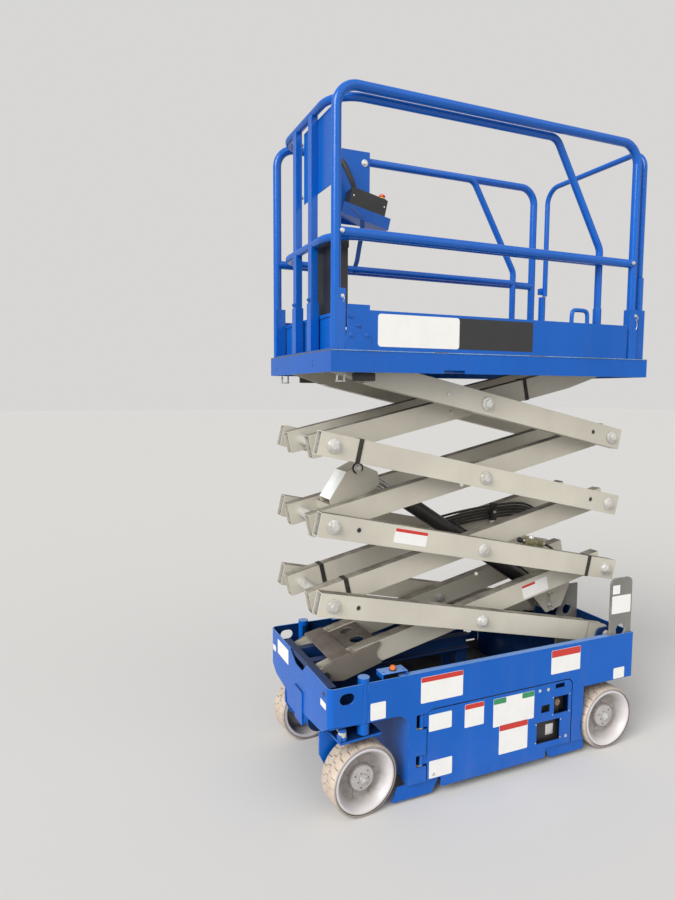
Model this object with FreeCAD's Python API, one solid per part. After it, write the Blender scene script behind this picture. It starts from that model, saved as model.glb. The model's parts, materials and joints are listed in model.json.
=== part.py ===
import FreeCAD
import Part
import math
import os

# Electric scissor lift, part raised: chassis on four wheels, four levels of crossed arms, railed platform.
# Origin: on the floor under the middle of the machine. +X forward (steered end), +Y left, +Z up. Millimetres.

V = FreeCAD.Vector
os.makedirs("parts", exist_ok=True)

# Fits
running_gap = 0.05
seat = 0.3

# Chassis
chassis_half_width = 376.0
chassis_front = 822.0
chassis_rear = -803.0
chassis_top = 568.0
chassis_floor = 82.0
sheet = 5.0
front_corner_radius = 28.0
front_edge_bottom = 410.0
front_arch_top = 400.0
front_arch_back = 458.0
front_arch_radius = 62.0
rear_panel_bottom = 343.0
rear_arch_radius = 176.0
rear_arch_front = -497.0
top_flange = 24.0
top_flange_rear = -650.0
top_flange_front = 500.0
tie_hole_x = 743.0
tie_hole_z = 518.0
tie_hole_length = 64.0
tie_hole_height = 46.0

# Front wall seen from the front, as (y, z, corner radius), with its tongue and its notch
front_wall = [(-chassis_half_width - 1, front_edge_bottom, 0), (-296.0, 360.0, 20), (-140.0, 343.0, 0),
              (-130.0, 287.0, 4), (-30.0, 287.0, 4), (-30.0, 345.0, 0), (-13.0, 345.0, 0), (-13.0, 280.0, 0),
              (81.0, 280.0, 0), (81.0, 336.0, 0), (296.0, 360.0, 20),
              (chassis_half_width + 1, front_edge_bottom, 0),
              (chassis_half_width + 1, chassis_top + 1, 0), (123.0, chassis_top + 1, 0), (72.0, 524.0, 6),
              (-9.0, 524.0, 6), (-90.0, chassis_top + 1, 0), (-chassis_half_width - 1, chassis_top + 1, 0)]
front_wall_low = 280.0
front_channel = (-13.0, 81.0, 280.0, 430.0)
front_channel_proud = 6.0
front_channel_wall = 4.0

# Angle strip behind the top edge of the front wall
strip_rear = 788.0
strip_right = -170.0
strip_left = 367.0
strip_bottom = 550.0
strip_top = 576.0
strip_wall = 3.0

# Module doors, with ports as (rear x, front x, low z, high z) and hinge knuckles as (low z, high z)
door_front = 366.0
door_rear = -423.0
door_top = 395.0
door_bottom = 84.0
door_thickness = 6.0
door_gap = 5.0
door_corner_radius = 34.0
skirt_front = 295.0
skirt_rear = -275.0
skirt_bottom = 40.0
door_ports = [(-404.0, -318.0, 241.0, 324.0), (-293.0, -244.0, 260.0, 296.0), (-356.0, -220.0, 114.0, 217.0),
              (-379.0, -325.0, 364.0, 386.0)]
hinge_knuckles = [(158.0, 199.0), (323.0, 380.0)]
hinge_x = 392.0
hinge_inset = 10.0
hinge_pin_radius = 5.0
hinge_knuckle_radius = 9.0
hinge_recess = 30.0
hinge_ear = 5.0
hinge_strap = 86.0
hinge_strap_half = 4.0
hinge_ear_rear = 8.0
tray_height = 190.0
tray_inner_y = 130.0
tray_rear = -380.0
tray_front = 300.0
tray_sheet = 6.0
tray_lip = 60.0
tray_margin = 15.0

# Pothole guards, as (front top x, rear top x, front bottom x, rear bottom x, bottom z)
guard_runs = [(501.0, 300.0, 528.0, 335.0, 16.0), (-281.0, -516.0, -312.0, -518.0, 25.0)]
guard_top = 79.0
guard_thickness = 8.0
guard_inset = 12.0
guard_rail_width = 48.0

# Upright plates at the rear
upright_front = -660.0
upright_outer_y = 364.0
upright_thickness = 8.0
upright_bottom = 500.0
upright_top = 845.0
upright_corner = 30.0
upright_hole_x = -730.0
upright_hole_z = 585.0
upright_hole_radius = 30.0
upright_pads = [(-790.0, -770.0), (-690.0, -670.0)]
upright_pad_bottom = 510.0
upright_pad_top = 560.0
middle_plate_half = 5.0
middle_plate_top = 712.0
middle_plate_slope = [(-731.0, middle_plate_top, 8), (-674.0, 604.0, 10), (upright_front, 560.0, 0)]
middle_hole_x = -727.0
middle_hole_z = 574.0
middle_hole_radius = 29.0

# Running gear
wheel_base = 1320.0
wheel_x = wheel_base / 2
tyre_radius = 152.5
tyre_width = 114.0
tyre_wall = 20.5
rim_radius = tyre_radius - tyre_wall
rim_flange = 7.5
rim_flange_thickness = 5.0
overall_half_width = chassis_half_width + 4.0
wheel_y = overall_half_width - tyre_width / 2
tyre_shoulder = 9.0
tyre_seat_gap = 0.2
rim_lip = 6.0
rim_edge = 1.5
rim_wall = 8.0
dish_depth = 50.0
dish_radius = 98.0
axle_radius = 20.0
hub_radius = 54.0
hub_chamfer = 4.0
hub_depth = 27.0
hub_back = 30.0
hub_bore_reach = 22.0
axle_hanger_y = 200.0
axle_hanger_thickness = 16.0
axle_hanger_half = 45.0
axle_hanger_drop = 40.0

# Steering
kingpin_y = chassis_half_width - 22.0
kingpin_radius = 15.0
kingpin_housing_radius = 24.0
kingpin_collar_radius = 26.0
kingpin_cap_radius = 24.5
kingpin_cap_height = 10.0
kingpin_housing_bottom = 352.0
kingpin_housing_top = 578.0
rest_steer = 4.5
yoke_plate_top = 346.0
yoke_plate_thickness = 10.0
yoke_plate_front = 118.0
yoke_plate_rear = 75.0
yoke_leg_gap = 14.0
yoke_leg_thickness = 14.0
drive_motor_radius = 62.0
drive_motor_length = 72.0
yoke_leg_top_half = 62.0
yoke_leg_foot_half = 50.0
yoke_leg_foot_radius = 40.0
yoke_leg_foot_drop = 62.0
yoke_plate_edge = 22.0
stub_reach = 21.0
tie_pin_rise = 14.0
steer_arm = 98.0
tie_rod_radius = 9.0
tie_eye_radius = 17.0
tie_pin_radius = 7.0
tie_rod_z = 371.0
tie_eye_half = 10.0

# Scissor stack
pin_spacing = 1516.0
rest_angle = 12.57
levels = 4
rear_pin_x = -723.0
base_pin_z = 535.0
arm_height = 98.0
arm_width = 52.0
arm_wall = 4.0
arm_overhang = 62.0
nose_reach = 18.0
nose_half_height = 30.0
nose_taper = 200.0
nose_radius = 13.0
nose_boss_radius = 17.0
outer_arm_y = 234.0
inner_arm_y = 134.0
boss_radius = 28.0
boss_face_gap = 1.0
boss_stand_out = (outer_arm_y - inner_arm_y - arm_width - boss_face_gap) / 2
pin_radius = 14.0
pin_gap = 0.06
cross_tube_radius = 22.5
washer_radius = 23.0
washer_thickness = 7.0
bolt_head_radius = 13.0
bolt_head_length = 18.0
nut_radius = 20.8
nut_length = 8.0
lug_thickness = 10.0
lug_side_gap = 2.0
foot_tube_cut = 106.0
foot_lug_lap = 40.0
foot_lug_radius = 42.0
pivot_lug_rear = 65.0
pivot_lug_top = 45.0
pivot_lug_front = 90.0
pivot_lug_rise = 30.0
pivot_pin_reach = 6.0

# Slide blocks and their tracks
block_ahead = 16.0
block_behind = 70.0
block_height = 56.0
block_width = 32.0
block_gap = 1.0
base_arm_gap = 14.0
top_arm_gap = 31.0
slide_head_length = 8.0
track_wall = 6.0
track_rear = -40.0
track_end_gap = 8.0
track_post = 12.0
track_post_length = 60.0

# Frame across the noses of the first inner arms, drawn along the arm: side plate as (x, z, corner radius)
nose_frame_y = 160.3
nose_frame_thickness = 8.0
nose_frame_side = [(464.0, 44.0, 6), (520.0, -8.0, 30), (473.0, -50.0, 8), (677.0, -61.0, 8),
                   (745.0, -38.0, 8),
                   (776.0, -20.0, 6), (776.0, 15.0, 6), (758.0, 30.0, 6), (694.0, 44.0, 6)]
nose_frame_bore_gap = 0.3
nose_frame_top = (628.0, 712.0, 43.0, 49.0)
nose_frame_lip = 12.0
nose_frame_back = (470.0, 632.0, 34.0, 40.0)
nose_frame_hole_radius = 32.0
nose_frame_hole_x = 540.0
nose_frame_hole_y = 55.0

# Lift cylinder between the first and third inner arms; foot and eye are given along and above the arms
cylinder_foot_x = -572.0
cylinder_foot_z = -153.0
cylinder_eye_x = 442.0
cylinder_eye_z = 93.0
barrel_radius = 36.0
barrel_start = 60.0
barrel_end = 1060.0
barrel_base = 10.0
gland_radius = 38.5
gland_length = 30.0
rod_radius = 22.0
rod_gap = 0.06
rod_start = 229.9
cylinder_pin_radius = 16.0
foot_eye_radius = 32.0
foot_eye_half = 35.0
rod_eye_radius = 28.0
rod_eye_half = 30.0
eye_pin_half = 46.0
foot_lug_y = 46.0
foot_lug = [(-707.0, -75.0, 12), (-695.0, -123.0, 12), (-622.0, -218.0, 14), (-520.0, -222.0, 14),
            (-420.0, -50.0, 14), (-430.0, 12.0, 10), (-690.0, 12.0, 10)]
foot_struts = [(-660.0, -600.0), (-500.0, -440.0)]
foot_strut_low = -40.0
foot_strut_high = 6.0
foot_tie = (-600.0, -540.0, -220.0, -205.0)
eye_flange_y = 52.0
eye_flange_thickness = 8.0
eye_flange = [(676.0, 0.0, 6), (676.0, 58.6, 6), (572.0, 158.0, 10), (500.0, 175.0, 14), (425.0, 120.0, 14),
              (425.0, 60.0, 14), (600.0, 0.0, 10)]
eye_web = [(676.0, 58.6, 0), (572.0, 158.0, 0), (568.0, 153.6, 0), (672.0, 54.2, 0)]
eye_cross_tube = (640.0, 680.0, -5.0, 35.0)
eye_bolt_x = 517.0
eye_bolt_z = 147.0
eye_bolt_length = 9.0

# Platform
platform_front = 818.0
platform_rear = -815.0
platform_half_width = 372.0
deck_top = 1900.0
band_bottom = 1815.0
band_wall = 5.0
band_notch = (215.0, 316.0, 14.0)
floor_thickness = 4.0
gusset_rear_margin = 10.0
gusset_pitch = 200.0
gusset_count = 5
gusset_thickness = 6.0
platform_lug_half = 26.0
platform_lug_root = 70.0
toe_top = 2052.0
toe_wall = 4.0
toe_front = 655.0
toe_rear = -680.0
fold_plate_front = 751.0
fold_plate_low = 1939.0
fold_plate_high = 2071.0
rail_radius = 19.0
rail_top = 2893.0
rail_mid = rail_top - 554.0
rail_y = 352.0
rail_bend = 88.0
front_post_x = 790.0
rear_post_x = -718.0
sleeve_half = 23.0
front_sleeve_shift = 10.0
sleeve_top = 2128.0

# Extension deck and its rails
extension_front = 800.0
extension_rear = -575.0
extension_rim_half = 328.0
extension_plate_half = 288.0
extension_lift = 3.0
extension_rim = 4.0
extension_plate = 3.0
runner_y = 270.0
runner_half = 15.0
extension_rail_y = 309.0
extension_rail_radius = 16.0
extension_rail_top = rail_top - 19.0
extension_rail_mid = rail_top - 553.0
extension_bend = 125.0
extension_knee_x = -280.0
extension_knee_bend = 60.0
extension_foot_x = -553.0
extension_foot_top = 2130.0
extension_knee_z = 2400.0
front_rail_inset = 18.0
mid_post_y = 92.0
mid_post_half_x = 14.0
mid_post_half_y = 19.0
mid_sleeve_half_x = 18.0
mid_sleeve_half_y = 23.0
mid_sleeve_top = 2105.0
toe_plate_x = 752.0
toe_plate_half = 318.0
toe_bar_height = 13.0
toe_bar_proud = 4.0
panel_sheet = 3.0
sign_panel = (-50.0, 292.0, 2540.0, 2830.0)
document_box = (-20.0, 236.0, 2000.0, 2360.0)
document_box_depth = 60.0

# Entry gate
gate_x = -783.0
gate_half_width = 335.0
gate_free_y = -314.2
gate_top = 2880.0
gate_step_top = 2130.0
gate_post_top = 2281.0
gate_post_half_x = 22.0
gate_post_half_y = 20.0
gate_pin_radius = 9.0
gate_pin_length = 80.0
gate_tube_radius = 13.4
gate_bend = 80.0

# Control box, in a tray that slopes down to the rear
control_x = 400.0
control_length = 250.0
control_z = rail_top - 348.0
control_slope = 12.5
control_tray_width = 90.0
control_tray_height = 55.0
control_sheet = 4.0
control_box_width = 76.0
control_box_length = 190.0
control_box_height = 130.0
hanger_rear = 338.0
hanger_front = 528.0
hanger_top = 2897.0
hanger_grip = 10.0


def box(x0, x1, y0, y1, z0, z1):
    """Box between two corners."""
    return Part.makeBox(x1 - x0, y1 - y0, z1 - z0, V(x0, y0, z0))


def rod_y(x, z, radius, y0, y1):
    """Cylinder along Y."""
    return Part.makeCylinder(radius, y1 - y0, V(x, y0, z), V(0, 1, 0))


def rod_z(x, y, radius, z0, z1):
    """Cylinder along Z."""
    return Part.makeCylinder(radius, z1 - z0, V(x, y, z0), V(0, 0, 1))


def rounded_wire(points, radii, closed=True):
    """Wire through the points, each corner rounded by its own radius (0 keeps it sharp)."""
    count = len(points)
    edges = []
    ends = []
    for i, point in enumerate(points):
        radius = radii[i]
        inner = closed or 0 < i < count - 1
        if radius <= 0 or not inner:
            ends.append((point, None, point))
            continue
        before = (points[i - 1] - point).normalize()
        after = (points[(i + 1) % count] - point).normalize()
        half = before.getAngle(after) / 2
        reach = radius / math.tan(half)
        middle = (before + after).normalize()
        centre = point + middle * (radius / math.sin(half))
        ends.append((point + before * reach, centre - middle * radius, point + after * reach))
    last = count if closed else count - 1
    for i in range(count):
        start, middle, finish = ends[i]
        if middle is not None:
            edges.append(Part.Arc(start, middle, finish).toShape())
        if i < last:
            following = ends[(i + 1) % count][0]
            if (following - finish).Length > 0.001:
                edges.append(Part.LineSegment(finish, following).toShape())
    return Part.Wire(edges)


def plate_xz(outline, y0, y1):
    """Plate in an X-Z plane from y0 to y1; outline lists (x, z, corner radius)."""
    points = [V(x, y0, z) for x, z, radius in outline]
    wire = rounded_wire(points, [radius for x, z, radius in outline])
    return Part.Face(wire).extrude(V(0, y1 - y0, 0))


def plate_yz(outline, x0, x1):
    """Plate in a Y-Z plane from x0 to x1; outline lists (y, z, corner radius)."""
    points = [V(x0, y, z) for y, z, radius in outline]
    wire = rounded_wire(points, [radius for y, z, radius in outline])
    return Part.Face(wire).extrude(V(x1 - x0, 0, 0))


def plate_xy(outline, z0, z1):
    """Plate in an X-Y plane from z0 to z1; outline lists (x, y, corner radius)."""
    points = [V(x, y, z0) for x, y, radius in outline]
    wire = rounded_wire(points, [radius for x, y, radius in outline])
    return Part.Face(wire).extrude(V(0, 0, z1 - z0))


def revolve_y(profile, x, z):
    """Solid of revolution about the Y line through (x, z); profile lists (y, radius)."""
    points = [V(x + radius, y, z) for y, radius in profile]
    wire = Part.makePolygon(points + [points[0]])
    return Part.Face(wire).revolve(V(x, 0, z), V(0, 1, 0), 360)


def tube_run(points, radii, radius):
    """Round bar along straight runs joined by arcs."""
    path = rounded_wire(points, radii, closed=False)
    direction = (points[1] - points[0]).normalize()
    circle = Part.Wire(Part.makeCircle(radius, points[0], direction))
    return path.makePipeShell([circle], True, False)


def mirror_y(shape):
    """Copy mirrored to the other side of the machine."""
    return shape.mirror(V(0, 0, 0), V(0, 1, 0))


def fuse(shapes):
    """One solid from pieces welded together."""
    return shapes[0].multiFuse(shapes[1:]).removeSplitter()


def save(name, shapes):
    """Write one sub-part, made of one or more separate solids."""
    solids = [solid for shape in shapes for solid in shape.Solids]
    shape = solids[0] if len(solids) == 1 else Part.makeCompound(solids)
    shape.exportStep("parts/" + name + ".step")
    print(name, len(solids), "solids", round(shape.Volume / 1e6, 3), "litres", shape.isValid())


# Scissor geometry: pin heights and centres at the modelled angle
slope = math.radians(rest_angle)
rise = pin_spacing * math.sin(slope)
run = pin_spacing * math.cos(slope)
front_pin_x = rear_pin_x + run
centre_pin_x = rear_pin_x + run / 2
top_pin_z = base_pin_z + levels * rise
arm_inside = inner_arm_y - arm_width / 2
arm_outside = outer_arm_y + arm_width / 2
platform_lug_y = arm_inside - 4 - lug_thickness
platform_lug_outer_y = inner_arm_y + arm_width / 2 + boss_stand_out + 2.5
base_block_y = arm_inside - base_arm_gap - block_width / 2
top_block_y = arm_outside + top_arm_gap + block_width / 2


def centre_pin_z(level):
    """Height of the centre pin of a level, counted from 1."""
    return base_pin_z + (level - 0.5) * rise


def place_arm(shape, level, front_up):
    """Turn a shape drawn level about the origin to its arm's slope and carry it to its level."""
    turned = shape.copy()
    turned.rotate(V(0, 0, 0), V(0, 1, 0), -rest_angle if front_up else rest_angle)
    turned.translate(V(centre_pin_x, 0, centre_pin_z(level)))
    return turned


def inner_arm_point(level, along, above):
    """Point given along and above an inner arm, in the machine's frame."""
    return V(centre_pin_x + along * math.cos(slope) + above * math.sin(slope), 0,
             centre_pin_z(level) - along * math.sin(slope) + above * math.cos(slope))


def arm_tube(side_y, front_nose=False, rear_nose=False, rear_lugs=False):
    """Rectangular tube with three cross bosses, drawn level with its centre pin at the origin.

    A nosed end is tapered and rounded close round its pin, so that it clears the deck or the chassis.
    An arm with rear lugs ends short of its rear pin, which two rounded plates carry.
    """
    half = pin_spacing / 2
    deep = arm_height / 2
    low_y = side_y - arm_width / 2
    high_y = side_y + arm_width / 2
    outline = []
    for way, nosed in ((1, front_nose), (-1, rear_nose)):
        if nosed:
            end = [(way * (half - nose_taper), deep, 0),
                   (way * (half + nose_reach), nose_half_height, nose_radius),
                   (way * (half + nose_reach), -nose_half_height, nose_radius),
                   (way * (half - nose_taper), -deep, 0)]
        else:
            tip = half - foot_tube_cut if rear_lugs and way < 0 else half + arm_overhang
            end = [(way * tip, deep, 0), (way * tip, -deep, 0)]
        outline += end if way > 0 else end[::-1]
    full = half + arm_overhang + 1
    hollow = box(-full, full, low_y + arm_wall, high_y - arm_wall, arm_wall - deep, deep - arm_wall)
    parts = [plate_xz(outline, low_y, high_y).cut(hollow)]
    if rear_lugs:
        lap = foot_tube_cut + foot_lug_lap - half
        lug_outline = [(lap, deep - arm_wall - 1, 0), (lap, 1 + arm_wall - deep, 0),
                       (-half - foot_lug_radius, -foot_lug_radius, foot_lug_radius - 0.1),
                       (-half - foot_lug_radius, foot_lug_radius, foot_lug_radius - 0.1)]
        parts.append(plate_xz(lug_outline, low_y + arm_wall, low_y + arm_wall + lug_thickness))
        parts.append(plate_xz(lug_outline, high_y - arm_wall - lug_thickness, high_y - arm_wall))
    if side_y == outer_arm_y:
        boss_span = (low_y - boss_stand_out, high_y)
    else:
        boss_span = (low_y, high_y + boss_stand_out)
    for x, nosed in ((-half, rear_nose), (0, False), (half, front_nose)):
        parts.append(rod_y(x, 0, nose_boss_radius if nosed else boss_radius, *boss_span))
    bores = [rod_y(x, 0, pin_radius + pin_gap, boss_span[0] - 1, boss_span[1] + 1) for x in (-half, 0, half)]
    return parts[0].multiFuse(parts[1:]).cut(Part.makeCompound(bores))


def head_profile(outside):
    """Profile of a pin's washer and bolt head beyond the face at outside, from the pin's skin to its axis."""
    near = outside + seat
    washer = near + washer_thickness
    tip = washer + bolt_head_length
    return [(near, pin_radius), (near, washer_radius), (washer, washer_radius), (washer, bolt_head_radius),
            (tip, bolt_head_radius), (tip, 0)]


def stub_pins(x):
    """Short pins through an outer and an inner arm on both sides, headed outside and with a nut inside."""
    nut = arm_inside - seat
    profile = [(nut - nut_length, 0), (nut - nut_length, nut_radius), (nut, nut_radius), (nut, pin_radius)]
    pin = revolve_y(profile + head_profile(arm_outside), x, 0)
    return [pin, mirror_y(pin)]


def cross_shaft(x, tube_half, outside):
    """Shaft across the stack: a thick tube in the middle and a pin each side, headed past outside."""
    half = [(tube_half, cross_tube_radius), (tube_half, pin_radius)] + head_profile(outside)
    other = [(-y, radius) for y, radius in reversed(half)]
    return revolve_y(other + half, x, 0)


def make_scissors():
    """Arms and pins of every level."""
    reach = pin_spacing / 2
    tube_half = arm_inside - seat
    for level in range(1, levels + 1):
        outer = arm_tube(outer_arm_y, front_nose=(level == levels), rear_lugs=(level == 1))
        inner = arm_tube(inner_arm_y, front_nose=(level == 1), rear_nose=(level == levels))
        save("outer_arms_%d" % level, [place_arm(arm, level, True) for arm in (outer, mirror_y(outer))])
        save("inner_arms_%d" % level, [place_arm(arm, level, False) for arm in (inner, mirror_y(inner))])
        pins = stub_pins(0)
        if level == levels:
            pins.append(cross_shaft(-reach, platform_lug_y - seat, platform_lug_outer_y + lug_thickness))
        elif level == levels - 1:
            pins.append(cross_shaft(-reach, tube_half, arm_outside))
        else:
            pins += stub_pins(-reach)
        if level > 1:
            pins.append(cross_shaft(reach, tube_half, arm_outside))
        save("pins_%d" % level, [place_arm(pin, level, False) for pin in pins])


def make_nose_frame():
    """Frame that ties the noses of the first inner arms: side plates, a lipped top and a drilled back."""
    y1 = nose_frame_y + nose_frame_thickness
    bore = rod_y(pin_spacing / 2, 0, nose_boss_radius + nose_frame_bore_gap, nose_frame_y - 1, y1 + 1)
    side = plate_xz(nose_frame_side, nose_frame_y, y1).cut(bore)
    rear, front, low, high = nose_frame_top
    top = box(rear, front, -y1, y1, low, high)
    lip = box(front - nose_frame_thickness, front, -y1, y1, high - nose_frame_lip, high)
    between = arm_inside - seat
    back_rear, back_front, back_low, back_high = nose_frame_back
    back = box(back_rear, back_front, -between, between, back_low, back_high)
    riser = box(rear - nose_frame_thickness, back_front, -between, between, back_low, high - 1)
    holes = [rod_z(nose_frame_hole_x, side * nose_frame_hole_y, nose_frame_hole_radius, back_low - 1,
                   back_high + 1)
             for side in (-1, 1)]
    frame = fuse([side, mirror_y(side), top, lip, riser, back.cut(Part.makeCompound(holes))])
    save("nose_frame", [place_arm(frame, 1, False)])


def slide_block(z, block_y, pin_end):
    """Slide block round its pin, which runs to a head on the far side of the arm at pin_end."""
    x = front_pin_x
    block = box(x - block_behind, x + block_ahead, block_y - block_width / 2, block_y + block_width / 2,
                z - block_height / 2, z + block_height / 2)
    way = 1 if pin_end > block_y else -1
    pin = rod_y(x, z, pin_radius, min(block_y, pin_end), max(block_y, pin_end))
    head_end = pin_end + way * slide_head_length
    head = rod_y(x, z, nose_reach, min(pin_end, head_end), max(pin_end, head_end))
    return fuse([block, pin, head])


def slide_track(z, block_y, web_side, front):
    """C channel in which a slide block runs; web_side is +1 where its web lies outboard of the block."""
    low = z - block_height / 2 - block_gap
    high = z + block_height / 2 + block_gap
    near = block_y - web_side * block_width / 2
    web = block_y + web_side * (block_width / 2 + block_gap)
    back = web + web_side * track_wall
    mouth = near - web_side
    channel = box(track_rear, front, min(near, back), max(near, back), low - track_wall, high + track_wall)
    return channel.cut(box(track_rear - 1, front + 1, min(mouth, web), max(mouth, web), low, high))


def make_slides():
    """Slide blocks at the foot of the first inner arms and at the head of the last outer arms."""
    base = slide_block(base_pin_z, base_block_y, inner_arm_y + arm_width / 2 + boss_stand_out + seat)
    top = slide_block(top_pin_z, top_block_y, outer_arm_y - arm_width / 2 - boss_stand_out - seat)
    save("slide_blocks_base", [base, mirror_y(base)])
    save("slide_blocks_top", [top, mirror_y(top)])


def door_cutter():
    """Space the left door and its hinges take out of the chassis."""
    y0 = chassis_half_width - hinge_inset - 2
    y1 = chassis_half_width + 1
    low = chassis_floor - 1
    cutter = plate_xz([(door_rear - door_gap, low, 0),
                       (door_rear - door_gap, door_top + door_gap, door_corner_radius),
                       (door_front + door_gap, door_top + door_gap, door_corner_radius),
                       (door_front + door_gap, low, 0)], y0, y1)
    recesses = [box(door_front, hinge_x + hinge_recess, chassis_half_width - sheet - 1, y1, bottom - door_gap,
                    top + door_gap) for bottom, top in hinge_knuckles]
    return cutter.multiFuse(recesses)


def side_wall():
    """Side wall of the chassis in the X-Z plane, with its wheel arches, tie-down hole and top flange."""
    y0 = chassis_half_width - sheet
    y1 = chassis_half_width
    wall = plate_xz([(chassis_rear, rear_panel_bottom, 0), (chassis_rear, chassis_top, 0),
                     (chassis_front - front_corner_radius, chassis_top, 0),
                     (chassis_front - front_corner_radius, front_edge_bottom, 0),
                     (wheel_x + 20, front_arch_top, 0),
                     (front_arch_back, front_arch_top, front_arch_radius),
                     (front_arch_back, chassis_floor, 0),
                     (rear_arch_front, chassis_floor, 0),
                     (rear_arch_front, rear_panel_bottom, 0)], y0, y1)
    arch = rod_y(-wheel_x, tyre_radius, rear_arch_radius, y0 - 1, y1 + 1)
    hole_end = (tie_hole_length - tie_hole_height) / 2
    hole = rod_y(tie_hole_x - hole_end, tie_hole_z, tie_hole_height / 2, y0 - 1, y1 + 1)
    hole = hole.fuse(rod_y(tie_hole_x + hole_end, tie_hole_z, tie_hole_height / 2, y0 - 1, y1 + 1))
    hole = hole.fuse(box(tie_hole_x - hole_end, tie_hole_x + hole_end, y0 - 1, y1 + 1,
                         tie_hole_z - tie_hole_height / 2, tie_hole_z + tie_hole_height / 2))
    flange = box(top_flange_rear, top_flange_front, y0 - top_flange, y1 - 1, chassis_top - sheet, chassis_top)
    return wall.cut(arch).cut(hole).fuse(flange)


def front_skin():
    """Bent front wall with its stepped lower edge, tongue, notch and raised channel."""
    half = chassis_half_width
    bent = plate_xy([(chassis_front - front_corner_radius, -half, 0),
                     (chassis_front, -half, front_corner_radius),
                     (chassis_front, half, front_corner_radius),
                     (chassis_front - front_corner_radius, half, 0),
                     (chassis_front - front_corner_radius, half - sheet, 0),
                     (chassis_front - sheet, half - sheet, front_corner_radius - sheet),
                     (chassis_front - sheet, sheet - half, front_corner_radius - sheet),
                     (chassis_front - front_corner_radius, sheet - half, 0)],
                    front_wall_low, chassis_top)
    skin = bent.common(plate_yz(front_wall, chassis_front - front_corner_radius - 1, chassis_front + 1))
    right, left, low, high = front_channel
    wall = front_channel_wall
    channel = box(chassis_front - sheet, chassis_front + front_channel_proud, right, left, low, high)
    groove = box(chassis_front - sheet - 1, chassis_front + front_channel_proud - wall, right + wall,
                 left - wall,
                 low - 1, high - wall)
    return [skin.cut(groove), channel.cut(groove)]


def make_chassis():
    """Sheet body of the chassis, welded into one piece."""
    left = side_wall()
    inner_half = chassis_half_width - sheet
    rear = box(chassis_rear, chassis_rear + sheet, -inner_half, inner_half, rear_panel_bottom, chassis_top)
    floor = box(rear_arch_front, front_arch_back, -inner_half, inner_half, chassis_floor,
                chassis_floor + sheet)
    front_wall_box = box(front_arch_back - sheet, front_arch_back, -inner_half, inner_half,
                         chassis_floor, front_arch_top)
    rear_wall = box(rear_arch_front, rear_arch_front + sheet, -inner_half, inner_half,
                    chassis_floor, rear_panel_bottom)
    front_deck = box(front_arch_back - sheet, chassis_front - sheet, -inner_half, inner_half,
                     front_arch_top, front_arch_top + sheet)
    rear_deck = box(chassis_rear, rear_arch_front + sheet, -inner_half, inner_half,
                    rear_panel_bottom, rear_panel_bottom + sheet)
    shell = fuse([left, mirror_y(left), rear, floor, front_wall_box, rear_wall, front_deck, rear_deck]
                 + front_skin())
    door = door_cutter()
    cuts = [door, mirror_y(door)]
    for side in (-1, 1):
        cuts.append(rod_z(wheel_x, side * kingpin_y, kingpin_housing_radius + seat, front_arch_top - 1,
                          kingpin_housing_top))
    save("chassis_shell", [shell.cut(Part.makeCompound(cuts))])


def make_kingpin_housings():
    """Upright tubes in which the kingpins turn, each with a collar under the deck and a cap on top."""
    tube = rod_z(wheel_x, kingpin_y, kingpin_housing_radius, kingpin_housing_bottom, kingpin_housing_top)
    collar = rod_z(wheel_x, kingpin_y, kingpin_collar_radius, kingpin_housing_bottom, front_arch_top - seat)
    cap = rod_z(wheel_x, kingpin_y, kingpin_cap_radius, kingpin_housing_top,
                kingpin_housing_top + kingpin_cap_height)
    bore = rod_z(wheel_x, kingpin_y, kingpin_radius + running_gap, kingpin_housing_bottom - 1,
                 kingpin_housing_top - 6)
    housing = fuse([tube, collar, cap]).cut(bore)
    save("kingpin_housings", [housing, mirror_y(housing)])


def make_subframe():
    """Slide tracks on their posts, lugs that carry the lowest arm pins, and the angle strip at the front."""
    under_track = base_pin_z - block_height / 2 - block_gap - track_wall
    web_y = base_block_y - block_width / 2 - block_gap - track_wall
    front = chassis_front - sheet - track_end_gap
    track = slide_track(base_pin_z, base_block_y, -1, front)
    front_post = box(front_arch_back - track_post_length, front, web_y, web_y + track_post,
                     front_arch_top + sheet + seat, under_track + 1)
    rear_post = box(track_rear, track_rear + track_post_length, web_y, web_y + track_post,
                    chassis_floor + sheet + seat, under_track + 1)
    pieces = [fuse([track, front_post, rear_post])]
    inner_lug = outer_arm_y - arm_width / 2 - boss_stand_out - lug_side_gap - lug_thickness
    outer_lug = arm_outside + lug_side_gap
    foot = rear_panel_bottom + sheet + seat
    lug_top = base_pin_z + pivot_lug_rise
    lugs = []
    for y in (inner_lug, outer_lug):
        lugs.append(plate_xz([(rear_pin_x - pivot_lug_rear, foot, 0),
                              (rear_pin_x - pivot_lug_top, lug_top, pivot_lug_rise),
                              (rear_pin_x + pivot_lug_top, lug_top, pivot_lug_rise),
                              (rear_pin_x + pivot_lug_front, foot, 0)],
                             y, y + lug_thickness))
    pin = rod_y(rear_pin_x, base_pin_z, pin_radius, inner_lug - pivot_pin_reach,
                outer_lug + lug_thickness + pivot_pin_reach)
    pieces.append(fuse(lugs + [pin]))
    solids = [copy for piece in pieces for copy in (piece, mirror_y(piece))]
    strip_front = chassis_front - sheet - seat
    ledge = box(strip_rear, strip_front, strip_right, strip_left, strip_top - strip_wall, strip_top)
    leg = box(strip_front - strip_wall, strip_front, strip_right, chassis_half_width - front_corner_radius,
              strip_bottom, strip_top)
    save("chassis_rails", solids + [fuse([ledge, leg])])


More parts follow.
